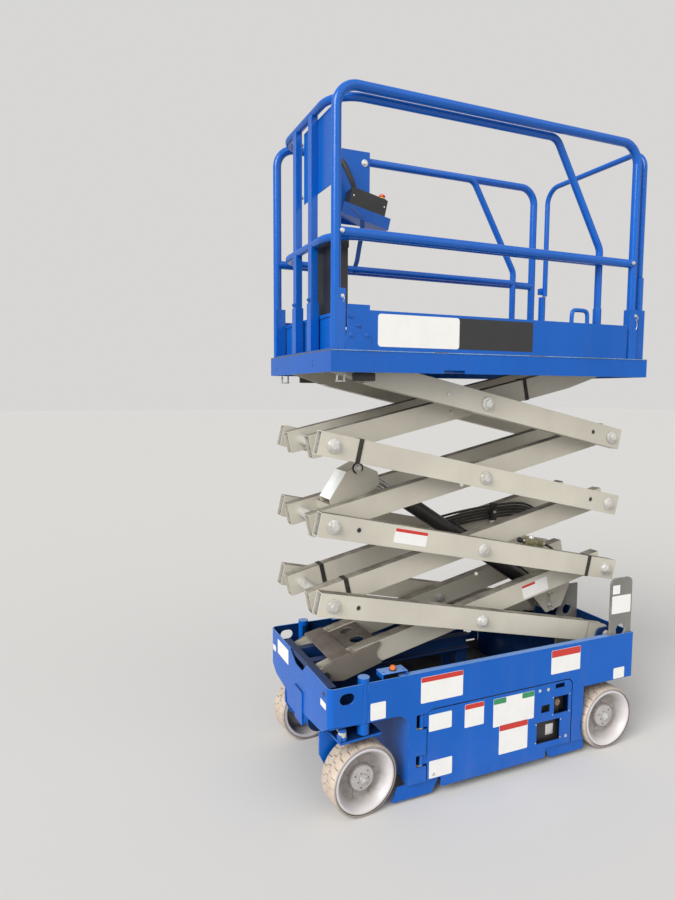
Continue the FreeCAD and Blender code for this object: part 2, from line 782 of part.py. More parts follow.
def make_rear_axle():
    """Cross beam and stub axles of the rear wheels, hung under the rear deck."""
    beam = rod_y(-wheel_x, tyre_radius, axle_radius, -wheel_y - 20, wheel_y + 20)
    thick = axle_hanger_thickness / 2
    hangers = [box(-wheel_x - axle_hanger_half, -wheel_x + axle_hanger_half, side * axle_hanger_y - thick,
                   side * axle_hanger_y + thick, tyre_radius - axle_hanger_drop, rear_panel_bottom - seat)
               for side in (-1, 1)]
    save("rear_axle", [fuse([beam] + hangers)])


def make_guards():
    """Pothole guards folded down under the doors, on a rail under the floor."""
    y1 = chassis_half_width - guard_inset
    plates = []
    for front_top, rear_top, front_bottom, rear_bottom, bottom in guard_runs:
        plates.append(plate_xz([(rear_top, guard_top, 0), (front_top, guard_top, 0),
                                (front_bottom, bottom, 0),
                                (rear_bottom, bottom, 0)], y1 - guard_thickness, y1))
    rear_end = guard_runs[1][1]
    rail = box(rear_end, front_arch_back, y1 - guard_rail_width, y1, guard_top - 3, chassis_floor - seat)
    guard = fuse(plates + [rail])
    save("pothole_guards", [guard, mirror_y(guard)])


def make_uprights():
    """Upright plates at the rear: one along each side wall, and a drilled one in the middle."""
    rear = chassis_rear + sheet + seat
    y0 = upright_outer_y - upright_thickness
    side = plate_xz([(rear, upright_bottom, 0), (rear, upright_top, upright_corner),
                     (upright_front, upright_top, upright_corner), (upright_front, upright_bottom, 0)],
                    y0, upright_outer_y)
    side = side.cut(rod_y(upright_hole_x, upright_hole_z, upright_hole_radius, y0 - 1, upright_outer_y + 1))
    pads = [box(x0, x1, upright_outer_y, chassis_half_width - sheet - seat, upright_pad_bottom,
                upright_pad_top)
            for x0, x1 in upright_pads]
    side = fuse([side] + pads)
    foot = rear_panel_bottom + sheet + seat
    middle = plate_xz([(rear, foot, 0), (rear, middle_plate_top, 0)] + middle_plate_slope +
                      [(upright_front, foot, 0)], -middle_plate_half, middle_plate_half)
    middle = middle.cut(rod_y(middle_hole_x, middle_hole_z, middle_hole_radius, -middle_plate_half - 1,
                              middle_plate_half + 1))
    save("rear_uprights", [side, mirror_y(side), middle])


def make_doors():
    """Swing-out module doors with ports, skirts and hinge straps, each with its tray and battery block."""
    y1 = chassis_half_width
    y0 = y1 - door_thickness
    hinge_y = y1 - hinge_inset
    round_top = door_corner_radius - door_gap
    panel = plate_xz([(door_rear, door_bottom, 0), (door_rear, door_top, round_top),
                      (door_front, door_top, round_top), (door_front, door_bottom, 0),
                      (skirt_front, door_bottom, 0), (skirt_front, skirt_bottom, 8),
                      (skirt_rear, skirt_bottom, 8), (skirt_rear, door_bottom, 0)], y0, y1)
    ports = [box(x0, x1, y0 - 1, y1 + 1, z0, z1) for x0, x1, z0, z1 in door_ports]
    parts = [panel.cut(Part.makeCompound(ports))]
    pins = []
    ear_front = front_arch_back - sheet - seat
    for low, high in hinge_knuckles:
        parts.append(rod_z(hinge_x, hinge_y, hinge_knuckle_radius, low, high))
        parts.append(box(hinge_x - hinge_strap, hinge_x, hinge_y - hinge_strap_half, y0, low, high))
        ears = [box(hinge_x - hinge_ear_rear, ear_front, hinge_y - hinge_knuckle_radius,
                    chassis_half_width - sheet - seat, z, z + hinge_ear)
                for z in (low - 2 * hinge_ear, high + hinge_ear)]
        pin = rod_z(hinge_x, hinge_y, hinge_pin_radius, low - 2 * hinge_ear, high + 2 * hinge_ear)
        pins.append(fuse(ears + [pin]))
    bore = rod_z(hinge_x, hinge_y, hinge_pin_radius + running_gap, door_bottom, door_top)
    panel = fuse(parts).cut(bore)
    low = chassis_floor + sheet + door_gap + 1
    tray = box(tray_rear, tray_front, tray_inner_y, y0 - seat, low, low + tray_sheet)
    tray = tray.fuse(box(tray_rear, tray_front, tray_inner_y, tray_inner_y + tray_sheet, low, low + tray_lip))
    block = box(tray_rear + tray_margin, tray_front - tray_margin, tray_inner_y + tray_margin,
                y0 - tray_margin,
                low + tray_sheet + seat, low + tray_sheet + seat + tray_height)
    save("door_left", [panel])
    save("door_right", [mirror_y(panel)])
    save("module_left", [tray, block])
    save("module_right", [mirror_y(tray), mirror_y(block)])
    save("door_hinge_pins", pins + [mirror_y(pin) for pin in pins])


def make_wheel(name, x, side, steer_y):
    """Tyre and dished rim of one wheel; side is +1 on the left. Steered wheels turn with their yoke."""
    outer = wheel_y + tyre_width / 2
    inner = wheel_y - tyre_width / 2
    seat_radius = rim_radius + tyre_seat_gap
    flange = rim_radius + rim_flange
    recess = rim_flange_thickness + tyre_seat_gap
    crown = tyre_radius - tyre_shoulder
    corner = tyre_shoulder * 0.35
    tyre = revolve_y([(inner + recess, seat_radius), (inner + recess, flange + tyre_seat_gap),
                      (inner, flange + tyre_seat_gap), (inner, crown), (inner + corner, tyre_radius - corner),
                      (inner + tyre_shoulder, tyre_radius), (outer - tyre_shoulder, tyre_radius),
                      (outer - corner, tyre_radius - corner), (outer, crown), (outer, flange + tyre_seat_gap),
                      (outer - recess, flange + tyre_seat_gap), (outer - recess, seat_radius)],
                     x, tyre_radius)
    lip = rim_radius - rim_lip
    dish = outer - dish_depth
    face = outer - hub_depth
    bore = axle_radius + running_gap
    rim = revolve_y([(inner + rim_edge, flange), (inner, flange - rim_edge), (inner, lip + rim_edge),
                     (inner + rim_edge, lip), (outer - rim_flange_thickness - 2 * rim_wall, lip),
                     (dish - rim_wall, dish_radius), (dish - rim_wall, hub_radius),
                     (wheel_y - hub_back, hub_radius), (wheel_y - hub_back, bore),
                     (wheel_y + hub_bore_reach, bore), (wheel_y + hub_bore_reach, 0), (face, 0),
                     (face, hub_radius - hub_chamfer), (face - hub_chamfer, hub_radius),
                     (dish, hub_radius), (dish, dish_radius), (outer - rim_flange_thickness, lip - rim_edge),
                     (outer - rim_edge, lip), (outer, lip + rim_edge), (outer, flange - rim_edge),
                     (outer - rim_edge, flange), (outer - rim_flange_thickness, flange),
                     (outer - rim_flange_thickness, rim_radius), (inner + rim_flange_thickness, rim_radius),
                     (inner + rim_flange_thickness, flange)], x, tyre_radius)
    shapes = [tyre, rim]
    if side < 0:
        shapes = [mirror_y(shape) for shape in shapes]
    if steer_y:
        for shape in shapes:
            shape.rotate(V(x, side * steer_y, 0), V(0, 0, 1), rest_steer)
    save("tyre_" + name, [shapes[0]])
    save("rim_" + name, [shapes[1]])


def make_wheels():
    """Four wheels, the front pair steered."""
    make_wheel("front_left", wheel_x, 1, kingpin_y)
    make_wheel("front_right", wheel_x, -1, kingpin_y)
    make_wheel("rear_left", -wheel_x, 1, 0)
    make_wheel("rear_right", -wheel_x, -1, 0)


def make_yokes():
    """Steered yokes: kingpin, top plate over the tyre, leg inside it, drive motor and stub axle."""
    low = yoke_plate_top - yoke_plate_thickness
    inner = wheel_y - tyre_width / 2
    leg_y = inner - yoke_leg_gap - yoke_leg_thickness
    pin = rod_z(wheel_x, kingpin_y, kingpin_radius, low, kingpin_housing_top - 8)
    plate = box(wheel_x - yoke_plate_rear, wheel_x + yoke_plate_front, leg_y, kingpin_y + yoke_plate_edge,
                low, yoke_plate_top)
    foot = tyre_radius - yoke_leg_foot_drop
    leg = plate_xz([(wheel_x - yoke_leg_top_half, low + 1, 0), (wheel_x + yoke_leg_top_half, low + 1, 0),
                    (wheel_x + yoke_leg_foot_half, foot, yoke_leg_foot_radius),
                    (wheel_x - yoke_leg_foot_half, foot, yoke_leg_foot_radius)],
                   leg_y, leg_y + yoke_leg_thickness)
    motor = rod_y(wheel_x, tyre_radius, drive_motor_radius, leg_y - drive_motor_length, leg_y)
    stub = rod_y(wheel_x, tyre_radius, axle_radius, leg_y, wheel_y + stub_reach)
    eye = rod_z(wheel_x + steer_arm, kingpin_y, tie_pin_radius, yoke_plate_top - 1, tie_rod_z + tie_pin_rise)
    yoke = fuse([pin, plate, leg, motor, stub, eye])
    for name, side in (("left", 1), ("right", -1)):
        shape = yoke if side > 0 else mirror_y(yoke)
        shape = shape.copy()
        shape.rotate(V(wheel_x, side * kingpin_y, 0), V(0, 0, 1), rest_steer)
        save("yoke_" + name, [shape])


def turned_point(x, y, side):
    """Point fixed to a yoke, carried round its kingpin by the modelled steering angle."""
    angle = math.radians(rest_steer)
    dx = x - wheel_x
    dy = y - side * kingpin_y
    return (wheel_x + dx * math.cos(angle) - dy * math.sin(angle),
            side * kingpin_y + dx * math.sin(angle) + dy * math.cos(angle))


def make_tie_rod():
    """Tie rod between the two steering arms."""
    left = turned_point(wheel_x + steer_arm, kingpin_y, 1)
    right = turned_point(wheel_x + steer_arm, -kingpin_y, -1)
    start = V(right[0], right[1], tie_rod_z)
    finish = V(left[0], left[1], tie_rod_z)
    bar = Part.makeCylinder(tie_rod_radius, (finish - start).Length, start, finish - start)
    eyes = [rod_z(x, y, tie_eye_radius, tie_rod_z - tie_eye_half, tie_rod_z + tie_eye_half)
            for x, y in (left, right)]
    bores = [rod_z(x, y, tie_pin_radius + running_gap, tie_rod_z - tie_eye_half - 1,
                   tie_rod_z + tie_eye_half + 1)
             for x, y in (left, right)]
    save("tie_rod", [fuse([bar] + eyes).cut(Part.makeCompound(bores))])


def make_lift_cylinder():
    """Lift cylinder, barrel and rod, at its modelled length."""
    foot = inner_arm_point(1, cylinder_foot_x, cylinder_foot_z)
    eye = inner_arm_point(3, cylinder_eye_x, cylinder_eye_z)
    along = (eye - foot).normalize()
    length = (eye - foot).Length
    neck = Part.makeCylinder(rod_radius, barrel_start + 2, foot, along)
    tube = Part.makeCylinder(barrel_radius, barrel_end - barrel_start, foot + along * barrel_start, along)
    gland = Part.makeCylinder(gland_radius, gland_length, foot + along * (barrel_end - gland_length), along)
    cavity = Part.makeCylinder(rod_radius + rod_gap, barrel_end, foot + along * (barrel_start + barrel_base),
                               along)
    foot_eye = rod_y(foot.x, foot.z, foot_eye_radius, -foot_eye_half, foot_eye_half)
    foot_bore = rod_y(foot.x, foot.z, cylinder_pin_radius + running_gap, -foot_eye_half - 1,
                      foot_eye_half + 1)
    save("lift_barrel", [fuse([tube, gland, neck, foot_eye]).cut(cavity).cut(foot_bore)])
    rod = Part.makeCylinder(rod_radius, length - rod_start, foot + along * rod_start, along)
    rod_eye = rod_y(eye.x, eye.z, rod_eye_radius, -rod_eye_half, rod_eye_half)
    eye_pin = rod_y(eye.x, eye.z, cylinder_pin_radius, -eye_pin_half, eye_pin_half)
    save("lift_rod", [fuse([rod, rod_eye, eye_pin])])


def make_cylinder_mounts():
    """Foot lugs under the first inner arms, and the flanged bracket on the third that the rod eye pushes."""
    between = arm_inside - seat
    lug_y1 = foot_lug_y + lug_thickness
    lug = plate_xz(foot_lug, foot_lug_y, lug_y1)
    struts = [box(x0, x1, lug_y1, between, foot_strut_low, foot_strut_high) for x0, x1 in foot_struts]
    head = rod_y(cylinder_foot_x, cylinder_foot_z, washer_radius, lug_y1, lug_y1 + slide_head_length)
    half = [lug, head] + struts
    pin = rod_y(cylinder_foot_x, cylinder_foot_z, cylinder_pin_radius, -lug_y1, lug_y1)
    tie_rear, tie_front, tie_low, tie_high = foot_tie
    tie = box(tie_rear, tie_front, -foot_lug_y - 1, foot_lug_y + 1, tie_low, tie_high)
    low_mount = fuse(half + [mirror_y(piece) for piece in half] + [pin, tie])
    save("cylinder_mount_low", [place_arm(low_mount, 1, False)])
    flange = plate_xz(eye_flange, eye_flange_y, eye_flange_y + eye_flange_thickness)
    bolt = rod_y(eye_bolt_x, eye_bolt_z, bolt_head_radius, eye_flange_y + 1,
                 eye_flange_y + eye_flange_thickness + eye_bolt_length)
    web = plate_xz(eye_web, -eye_flange_y - 1, eye_flange_y + 1)
    tube_rear, tube_front, tube_low, tube_high = eye_cross_tube
    tube = box(tube_rear, tube_front, -between, between, tube_low, tube_high)
    high_mount = fuse([flange, mirror_y(flange), bolt, mirror_y(bolt), web, tube])
    save("cylinder_mount_high", [place_arm(high_mount, 3, False)])


def make_platform():
    """Platform frame: side and end bands, top slide tracks on gussets, and rear pivot lugs."""
    half = platform_half_width
    under = deck_top - floor_thickness
    band = box(platform_rear, platform_front, -half, half, band_bottom, under)
    band = band.cut(box(platform_rear + band_wall, platform_front - band_wall, band_wall - half,
                        half - band_wall,
                        band_bottom - 1, deck_top))
    notch_rear, notch_front, notch_depth = band_notch
    band = band.cut(box(notch_rear, notch_front, -half - 1, half + 1, band_bottom - 1,
                        band_bottom + notch_depth))
    track = slide_track(top_pin_z, top_block_y, 1, platform_front - band_wall - track_end_gap)
    track_back = top_block_y + block_width / 2 + block_gap
    gussets = []
    for index in range(gusset_count):
        x = track_rear + gusset_rear_margin + index * gusset_pitch
        gussets.append(box(x, x + gusset_thickness, track_back, half - band_wall + 1, band_bottom + 15,
                           under))
    lugs = []
    for y in (platform_lug_y, platform_lug_outer_y):
        lug = plate_xz([(rear_pin_x - platform_lug_root, under, 0),
                        (rear_pin_x - platform_lug_half, top_pin_z - platform_lug_half,
                         platform_lug_half - 0.1),
                        (rear_pin_x + platform_lug_half, top_pin_z - platform_lug_half,
                         platform_lug_half - 0.1),
                        (rear_pin_x + platform_lug_root, under, 0)], y, y + lug_thickness)
        lugs.append(lug.cut(rod_y(rear_pin_x, top_pin_z, pin_radius + pin_gap, y - 1, y + lug_thickness + 1)))
    strap = box(rear_pin_x - platform_lug_root, rear_pin_x + platform_lug_root, 1 - half, half - 1,
                under - band_wall, under)
    pieces = [band, strap]
    for piece in [track] + gussets + lugs:
        pieces += [piece, mirror_y(piece)]
    save("platform_frame", [fuse(pieces)])
    floor = box(platform_rear, platform_front, -half, half, under + seat, deck_top)
    save("platform_floor", [floor])


def make_toeboards():
    """Toeboards along both sides of the fixed deck, with the plate of the folding hinge at the front."""
    low = deck_top + seat
    board = plate_xz([(toe_rear, low, 0), (toe_rear, toe_top, 0), (toe_front, toe_top, 0),
                      (toe_front, fold_plate_high, 0), (fold_plate_front, fold_plate_high, 0),
                      (fold_plate_front, fold_plate_low, 0),
                      (toe_front, fold_plate_low, 0), (toe_front, low, 0)],
                     platform_half_width - toe_wall, platform_half_width)
    save("toeboards", [board, mirror_y(board)])


def make_guardrails():
    """Side guardrails of the fixed deck, each one bent tube with a mid rail and post sleeves."""
    low = deck_top + seat
    hoop = tube_run([V(front_post_x, rail_y, low), V(front_post_x, rail_y, rail_top - rail_radius),
                     V(rear_post_x, rail_y, rail_top - rail_radius), V(rear_post_x, rail_y, low)],
                    [0, rail_bend, rail_bend, 0], rail_radius)
    mid = Part.makeCylinder(rail_radius, front_post_x - rear_post_x, V(rear_post_x, rail_y, rail_mid),
                            V(1, 0, 0))
    sleeves = [box(x - sleeve_half, x + sleeve_half, rail_y - rail_radius, platform_half_width, low,
                   sleeve_top)
               for x in (front_post_x - front_sleeve_shift, rear_post_x)]
    rail = fuse([hoop, mid] + sleeves)
    save("guardrail_left", [rail])
    save("guardrail_right", [mirror_y(rail)])


def make_extension():
    """Roll-out deck with its runners, toe plate and U-shaped guardrail, blank panel and document box."""
    rim_low = deck_top + extension_lift
    rim_top = rim_low + extension_rim
    rim = box(extension_rear, extension_front, -extension_rim_half, extension_rim_half, rim_low, rim_top)
    plate = box(extension_rear, toe_plate_x, -extension_plate_half, extension_plate_half, rim_top - 1,
                rim_top + extension_plate)
    runners = [box(extension_rear, extension_front, side * runner_y - runner_half,
                   side * runner_y + runner_half,
                   deck_top + seat, rim_low + 1) for side in (-1, 1)]
    toe = box(toe_plate_x, toe_plate_x + toe_wall, -toe_plate_half, toe_plate_half, rim_top - 1, toe_top)
    bar = box(toe_plate_x - toe_bar_proud, toe_plate_x + toe_wall + toe_bar_proud, -toe_plate_half,
              toe_plate_half,
              toe_top - toe_bar_height, toe_top)
    save("extension_deck", [fuse([rim, plate, toe, bar] + runners)])
    y = extension_rail_y
    front = extension_front - front_rail_inset
    foot = rim_top + seat
    high = extension_rail_top - rail_radius
    knee = extension_knee_bend
    corner = extension_bend
    top = tube_run([V(extension_foot_x, y, foot), V(extension_foot_x, y, extension_knee_z),
                    V(extension_knee_x, y, high), V(front, y, high),
                    V(front, -y, high), V(extension_knee_x, -y, high),
                    V(extension_foot_x, -y, extension_knee_z), V(extension_foot_x, -y, foot)],
                   [0, knee, knee, corner, corner, knee, knee, 0], extension_rail_radius)
    mid = tube_run([V(extension_foot_x, y, extension_rail_mid), V(front, y, extension_rail_mid),
                    V(front, -y, extension_rail_mid), V(extension_foot_x, -y, extension_rail_mid)],
                   [0, corner, corner, 0], extension_rail_radius)
    parts = [top, mid]
    for side in (-1, 1):
        middle = side * mid_post_y
        parts.append(box(front - mid_post_half_x, front + mid_post_half_x, middle - mid_post_half_y,
                         middle + mid_post_half_y, foot, high))
        parts.append(box(front - mid_sleeve_half_x, front + mid_sleeve_half_x, middle - mid_sleeve_half_y,
                         middle + mid_sleeve_half_y, foot, mid_sleeve_top))
        parts.append(rod_z(extension_foot_x, side * y, rail_radius, foot, extension_foot_top))
    save("extension_rails", [fuse(parts)])
    right, left, low_z, high_z = sign_panel
    panel_front = front - mid_post_half_x - seat
    save("sign_panel", [box(panel_front - panel_sheet, panel_front, right, left, low_z, high_z)])
    right, left, low_z, high_z = document_box
    box_front = toe_plate_x - toe_bar_proud - seat
    save("document_box", [box(box_front - document_box_depth, box_front, right, left, low_z, high_z)])


def make_gate():
    """Entry gate: an inverted U whose left leg turns in a post and whose right leg swings free."""
    foot = gate_post_top + 3
    gate = tube_run([V(gate_x, gate_half_width, foot),
                     V(gate_x, gate_half_width, gate_top - gate_tube_radius),
                     V(gate_x, gate_free_y, gate_top - gate_tube_radius),
                     V(gate_x, gate_free_y, foot)], [0, gate_bend, gate_bend, 0], gate_tube_radius)
    pin = rod_z(gate_x, gate_half_width, gate_pin_radius, gate_post_top - gate_pin_length, foot + 5)
    save("gate", [fuse([gate, pin])])
    post = box(gate_x - gate_post_half_x, gate_x + gate_post_half_x, gate_half_width - gate_post_half_y,
               gate_half_width + gate_post_half_y, deck_top + seat, gate_step_top)
    neck = rod_z(gate_x, gate_half_width, rail_radius, gate_step_top - 1, gate_post_top)
    bore = rod_z(gate_x, gate_half_width, gate_pin_radius + running_gap, gate_post_top - gate_pin_length - 2,
                 gate_post_top + 1)
    post = fuse([post, neck])
    save("gate_posts", [post.cut(bore), mirror_y(post)])


def make_controls():
    """Control box in its sloping tray, hung by a plate on the right-hand rail of the extension."""
    y0 = extension_rail_radius + seat - extension_rail_y
    y1 = y0 + control_sheet
    plate = box(hanger_rear, hanger_front, y0, y1, control_z, hanger_top)
    hook = box(hanger_rear, hanger_front, -extension_rail_y - hanger_grip, y1, hanger_top - control_sheet,
               hanger_top)
    half = control_length / 2
    edge = y0 + control_tray_width
    base = box(control_x - half, control_x + half, y0 + 1, edge, control_z, control_z + control_sheet)
    lip = box(control_x - half, control_x + half, edge - control_sheet, edge, control_z,
              control_z + control_tray_height)
    middle = (y1 + edge - control_sheet) / 2
    body = box(control_x - control_box_length / 2, control_x + control_box_length / 2,
               middle - control_box_width / 2, middle + control_box_width / 2,
               control_z + control_sheet + seat, control_z + control_sheet + seat + control_box_height)
    for shape in (base, lip, body):
        shape.rotate(V(control_x, 0, control_z), V(0, 1, 0), -control_slope)
    save("control_tray", [fuse([plate, hook, base, lip])])
    save("control_box", [body])


make_chassis()
make_kingpin_housings()
make_subframe()
make_rear_axle()
make_guards()
make_uprights()
make_doors()
make_wheels()
make_yokes()
make_tie_rod()
make_scissors()
make_nose_frame()
make_slides()
make_lift_cylinder()
make_cylinder_mounts()
make_platform()
make_toeboards()
make_guardrails()
make_extension()
make_gate()
make_controls()
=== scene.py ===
import json
import math
import random

import bmesh
import bpy
from bpy.props import FloatProperty, FloatVectorProperty, IntProperty, PointerProperty
from mathutils import Matrix, Vector


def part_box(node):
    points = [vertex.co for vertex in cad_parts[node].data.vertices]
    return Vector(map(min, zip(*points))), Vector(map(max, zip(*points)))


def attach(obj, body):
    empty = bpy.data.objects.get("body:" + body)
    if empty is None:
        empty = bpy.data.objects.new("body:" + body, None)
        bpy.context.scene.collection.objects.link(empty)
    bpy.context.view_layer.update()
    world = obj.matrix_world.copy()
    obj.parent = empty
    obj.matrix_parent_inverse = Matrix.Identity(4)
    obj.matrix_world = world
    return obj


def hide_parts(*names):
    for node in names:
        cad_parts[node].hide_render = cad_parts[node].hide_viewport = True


bl_info = {
    "name": "Scissor Lift",
    "version": (1, 0, 0),
    "blender": (4, 5, 0),
    "location": "View3D > Sidebar > Scissor Lift",
    "description": "Dresses the packed scissor lift with treads, bolts, hoses, blank plates and finishes",
    "category": "Object",
}

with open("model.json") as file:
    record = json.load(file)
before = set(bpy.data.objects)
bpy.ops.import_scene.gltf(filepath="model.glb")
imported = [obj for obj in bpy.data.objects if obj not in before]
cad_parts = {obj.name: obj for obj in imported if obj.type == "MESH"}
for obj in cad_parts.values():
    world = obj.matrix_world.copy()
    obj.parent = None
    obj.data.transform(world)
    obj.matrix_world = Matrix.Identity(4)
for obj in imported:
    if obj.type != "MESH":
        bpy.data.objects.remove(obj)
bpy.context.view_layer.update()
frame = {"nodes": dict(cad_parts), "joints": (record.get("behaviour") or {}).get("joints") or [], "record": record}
nodes = frame["nodes"]
joint_at = {joint["name"]: Vector(joint["pos_m"]) for joint in frame["joints"] if "pos_m" in joint}

X = Vector((1.0, 0.0, 0.0))
Y = Vector((0.0, 1.0, 0.0))
Z = Vector((0.0, 0.0, 1.0))

finishes = {}


# Sizes and colours that a user would change

def colour_property(name, description, default):
    return FloatVectorProperty(name=name, description=description, default=default, size=3, min=0.0, max=1.0,
                               subtype="COLOR")


class LiftColours(bpy.types.PropertyGroup):
    blue: colour_property("Body blue", "Enamel of the chassis, platform and rails", (0.001, 0.100, 0.46))
    arm: colour_property("Arm grey", "Warm light grey enamel of the scissor arms", (0.54, 0.51, 0.43))
    rim: colour_property("Rim grey", "Light grey enamel of the rims", (0.60, 0.57, 0.57))
    rubber: colour_property("Tyre rubber", "Non-marking beige grey rubber", (0.50, 0.41, 0.33))
    dust: colour_property("Dust", "Dry dust on low and level faces", (0.30, 0.25, 0.19))
    plate: colour_property("Blank plate", "White of the blank plates", (0.80, 0.79, 0.76))
    red: colour_property("Red band", "Red band along the top of some plates", (0.55, 0.03, 0.02))
    green: colour_property("Green band", "Green band along the top of some plates", (0.03, 0.25, 0.10))
    orange: colour_property("Lamp orange", "Lens of the flashing lamp", (0.75, 0.16, 0.02))


class LiftSizes(bpy.types.PropertyGroup):
    block_count: IntProperty(name="Tread blocks", description="Blocks along each half of a tyre", default=24,
                             min=8, max=60)
    groove: FloatProperty(name="Groove width", description="Width of the grooves between the tread blocks",
                          default=0.0032, min=0.001, max=0.01, unit="LENGTH")
    bolt_flats: FloatProperty(name="Pin bolt flats", description="Size across the flats of the arm pin bolts",
                              default=0.0345, min=0.01, max=0.05, unit="LENGTH")
    plate_thickness: FloatProperty(name="Plate thickness", description="Thickness of the blank plates",
                                   default=0.0006, min=0.0002, max=0.003, unit="LENGTH")
    hose_radius: FloatProperty(name="Hose radius", description="Radius of the hydraulic hoses", default=0.006,
                               min=0.002, max=0.02, unit="LENGTH")


# Material building

class Shader:
    """Material with short calls for adding and linking its nodes."""

    def __init__(self, name):
        self.material = bpy.data.materials.new(name)
        self.material.use_nodes = True
        self.tree = self.material.node_tree
        self.base = self.tree.nodes["Principled BSDF"]
        self.place = self.tree.nodes.new("ShaderNodeTexCoord").outputs["Object"]

    def node(self, kind, inputs=None, **settings):
        made = self.tree.nodes.new(kind)
        for key, value in settings.items():
            setattr(made, key, value)
        for key, value in (inputs or {}).items():
            if isinstance(value, bpy.types.NodeSocket):
                self.tree.links.new(value, made.inputs[key])
            else:
                made.inputs[key].default_value = value
        return made

    def link(self, value, key):
        self.tree.links.new(value, self.base.inputs[key])

    def noise(self, scale, detail=3.0, roughness=0.55, vector=None):
        return self.node("ShaderNodeTexNoise", {"Vector": vector or self.place, "Scale": scale, "Detail": detail,
                                                "Roughness": roughness}).outputs["Fac"]

    def band(self, value, low, high, to_low=0.0, to_high=1.0):
        return self.node("ShaderNodeMapRange", {"Value": value, "From Min": low, "From Max": high, "To Min": to_low,
                                                "To Max": to_high}, clamp=True).outputs["Result"]

    def maths(self, operation, first, second):
        return self.node("ShaderNodeMath", {0: first, 1: second}, operation=operation).outputs[0]

    def times(self, first, second):
        return self.maths("MULTIPLY", first, second)

    def plus(self, first, second):
        return self.maths("ADD", first, second)

    def mix(self, factor, first, second):
        made = self.tree.nodes.new("ShaderNodeMix")
        made.data_type = "RGBA"
        for index, value in ((0, factor), (6, first), (7, second)):
            if isinstance(value, bpy.types.NodeSocket):
                self.tree.links.new(value, made.inputs[index])
            elif index == 0:
                made.inputs[index].default_value = value
            else:
                made.inputs[index].default_value = (*value, 1.0)
        return made.outputs[2]

    def axes(self, vector):
        """X, Y and Z of a vector socket."""
        return self.node("ShaderNodeSeparateXYZ", {"Vector": vector}).outputs

    def normal(self):
        return self.node("ShaderNodeNewGeometry").outputs["Normal"]

    def edges(self, radius):
        """Mask of the edges and the rounded normal, both from a bevelled normal."""
        bevel = self.node("ShaderNodeBevel", {"Radius": radius}, samples=4)
        dot = self.node("ShaderNodeVectorMath", {0: bevel.outputs[0], 1: self.normal()},
                        operation="DOT_PRODUCT").outputs["Value"]
        return self.maths("SUBTRACT", 1.0, dot), bevel.outputs[0]

    def bump(self, height, strength, distance, normal=None):
        inputs = {"Height": height, "Strength": strength, "Distance": distance}
        if normal is not None:
            inputs["Normal"] = normal
        self.link(self.node("ShaderNodeBump", inputs).outputs[0], "Normal")


def shade(colour, factor):
    return tuple(min(1.0, part * factor) for part in colour)


def shade_inside_light_top(paint, tone, inner, cloud, upward):
    """Painted shade and highlight: darken the chassis faces that look inwards and pale its top edge, which stands at
    0.567 m, as a painted highlight with wear.
    """
    place, turned = paint.axes(paint.place), paint.axes(paint.normal())
    outward = paint.plus(paint.times(place["X"], turned["X"]), paint.times(place["Y"], turned["Y"]))
    below_top = paint.band(place["Z"], 0.5655, 0.5672, 1.0, 0.0)
    # painted shade on the faces that look inwards below the top edge, broken up by noise
    inside_shade = paint.times(paint.times(paint.band(outward, 0.02, 0.08, 1.0, 0.0), below_top),
                         paint.band(cloud, 0.25, 0.8, 0.98, 0.86))
    tone = paint.mix(inside_shade, tone, inner)
    # pale upward faces above the top edge: painted highlight, with wear
    top_edge = paint.times(paint.maths("SUBTRACT", 1.0, below_top), paint.times(upward, 0.5))
    return paint.mix(top_edge, tone, (0.24, 0.40, 0.66))


def enamel(name, colour, dust, gloss=0.3, coat=0.2, edge=0.003, wear=0.5, low_dust=0.0, top_dust=0.2, chips=None,
           inner=None, patchy=0.12, sheen=0.3):
    """Sprayed enamel: colour drift, fine grain, worn edges, dust on level and low faces, painted shade inside the body
    with a painted highlight on its top edge.
    """
    paint = Shader(name)
    broad = paint.noise(2.6, 4.0)
    fine = paint.noise(38.0, 4.0, 0.6)
    tone = paint.mix(paint.band(broad, 0.32, 0.70), shade(colour, 1.0 - patchy), shade(colour, 1.0 + patchy))
    edge_mask, rounded = paint.edges(edge)
    scuffed = paint.band(fine, 0.44, 0.58)
    worn = paint.times(paint.band(edge_mask, 0.05, 0.26), paint.times(scuffed, wear))
    tone = paint.mix(worn, tone, chips or shade(colour, 2.2))
    stretched = paint.node("ShaderNodeMapping", {"Vector": paint.place, "Scale": (7.0, 7.0, 1.1)}).outputs[0]
    streaks = paint.band(paint.noise(1.5, 3.0, 0.5, stretched), 0.48, 0.80)
    upward = paint.band(paint.axes(paint.normal())["Z"], 0.55, 0.95)
    cloud = paint.noise(9.0, 5.0, 0.6)
    grime = paint.times(upward, paint.band(cloud, 0.30, 0.68, top_dust * 0.45, top_dust))
    grime = paint.plus(grime, paint.times(streaks, 0.03 + low_dust * 0.15))
    if low_dust > 0.0:
        height = paint.band(paint.axes(paint.place)["Z"], 0.06, 0.34, 1.0, 0.0)
        grime = paint.plus(grime, paint.times(height, paint.band(cloud, 0.35, 0.75, 0.0, low_dust)))
    tone = paint.mix(paint.maths("MINIMUM", grime, 0.92), tone, dust)
    # inner is the colour of the painted shade on the faces inside the chassis
    if inner is not None:
        tone = shade_inside_light_top(paint, tone, inner, cloud, upward)
    paint.link(tone, "Base Color")
    paint.link(paint.plus(paint.band(fine, 0.3, 0.8, gloss - 0.05, gloss + 0.08),
                           paint.times(grime, 0.45)), "Roughness")
    paint.base.inputs["Specular IOR Level"].default_value = sheen
    paint.base.inputs["Coat Weight"].default_value = coat
    paint.base.inputs["Coat Roughness"].default_value = 0.12
    paint.bump(paint.noise(240.0, 2.0), 0.08, 0.0006, rounded)
    return paint.material


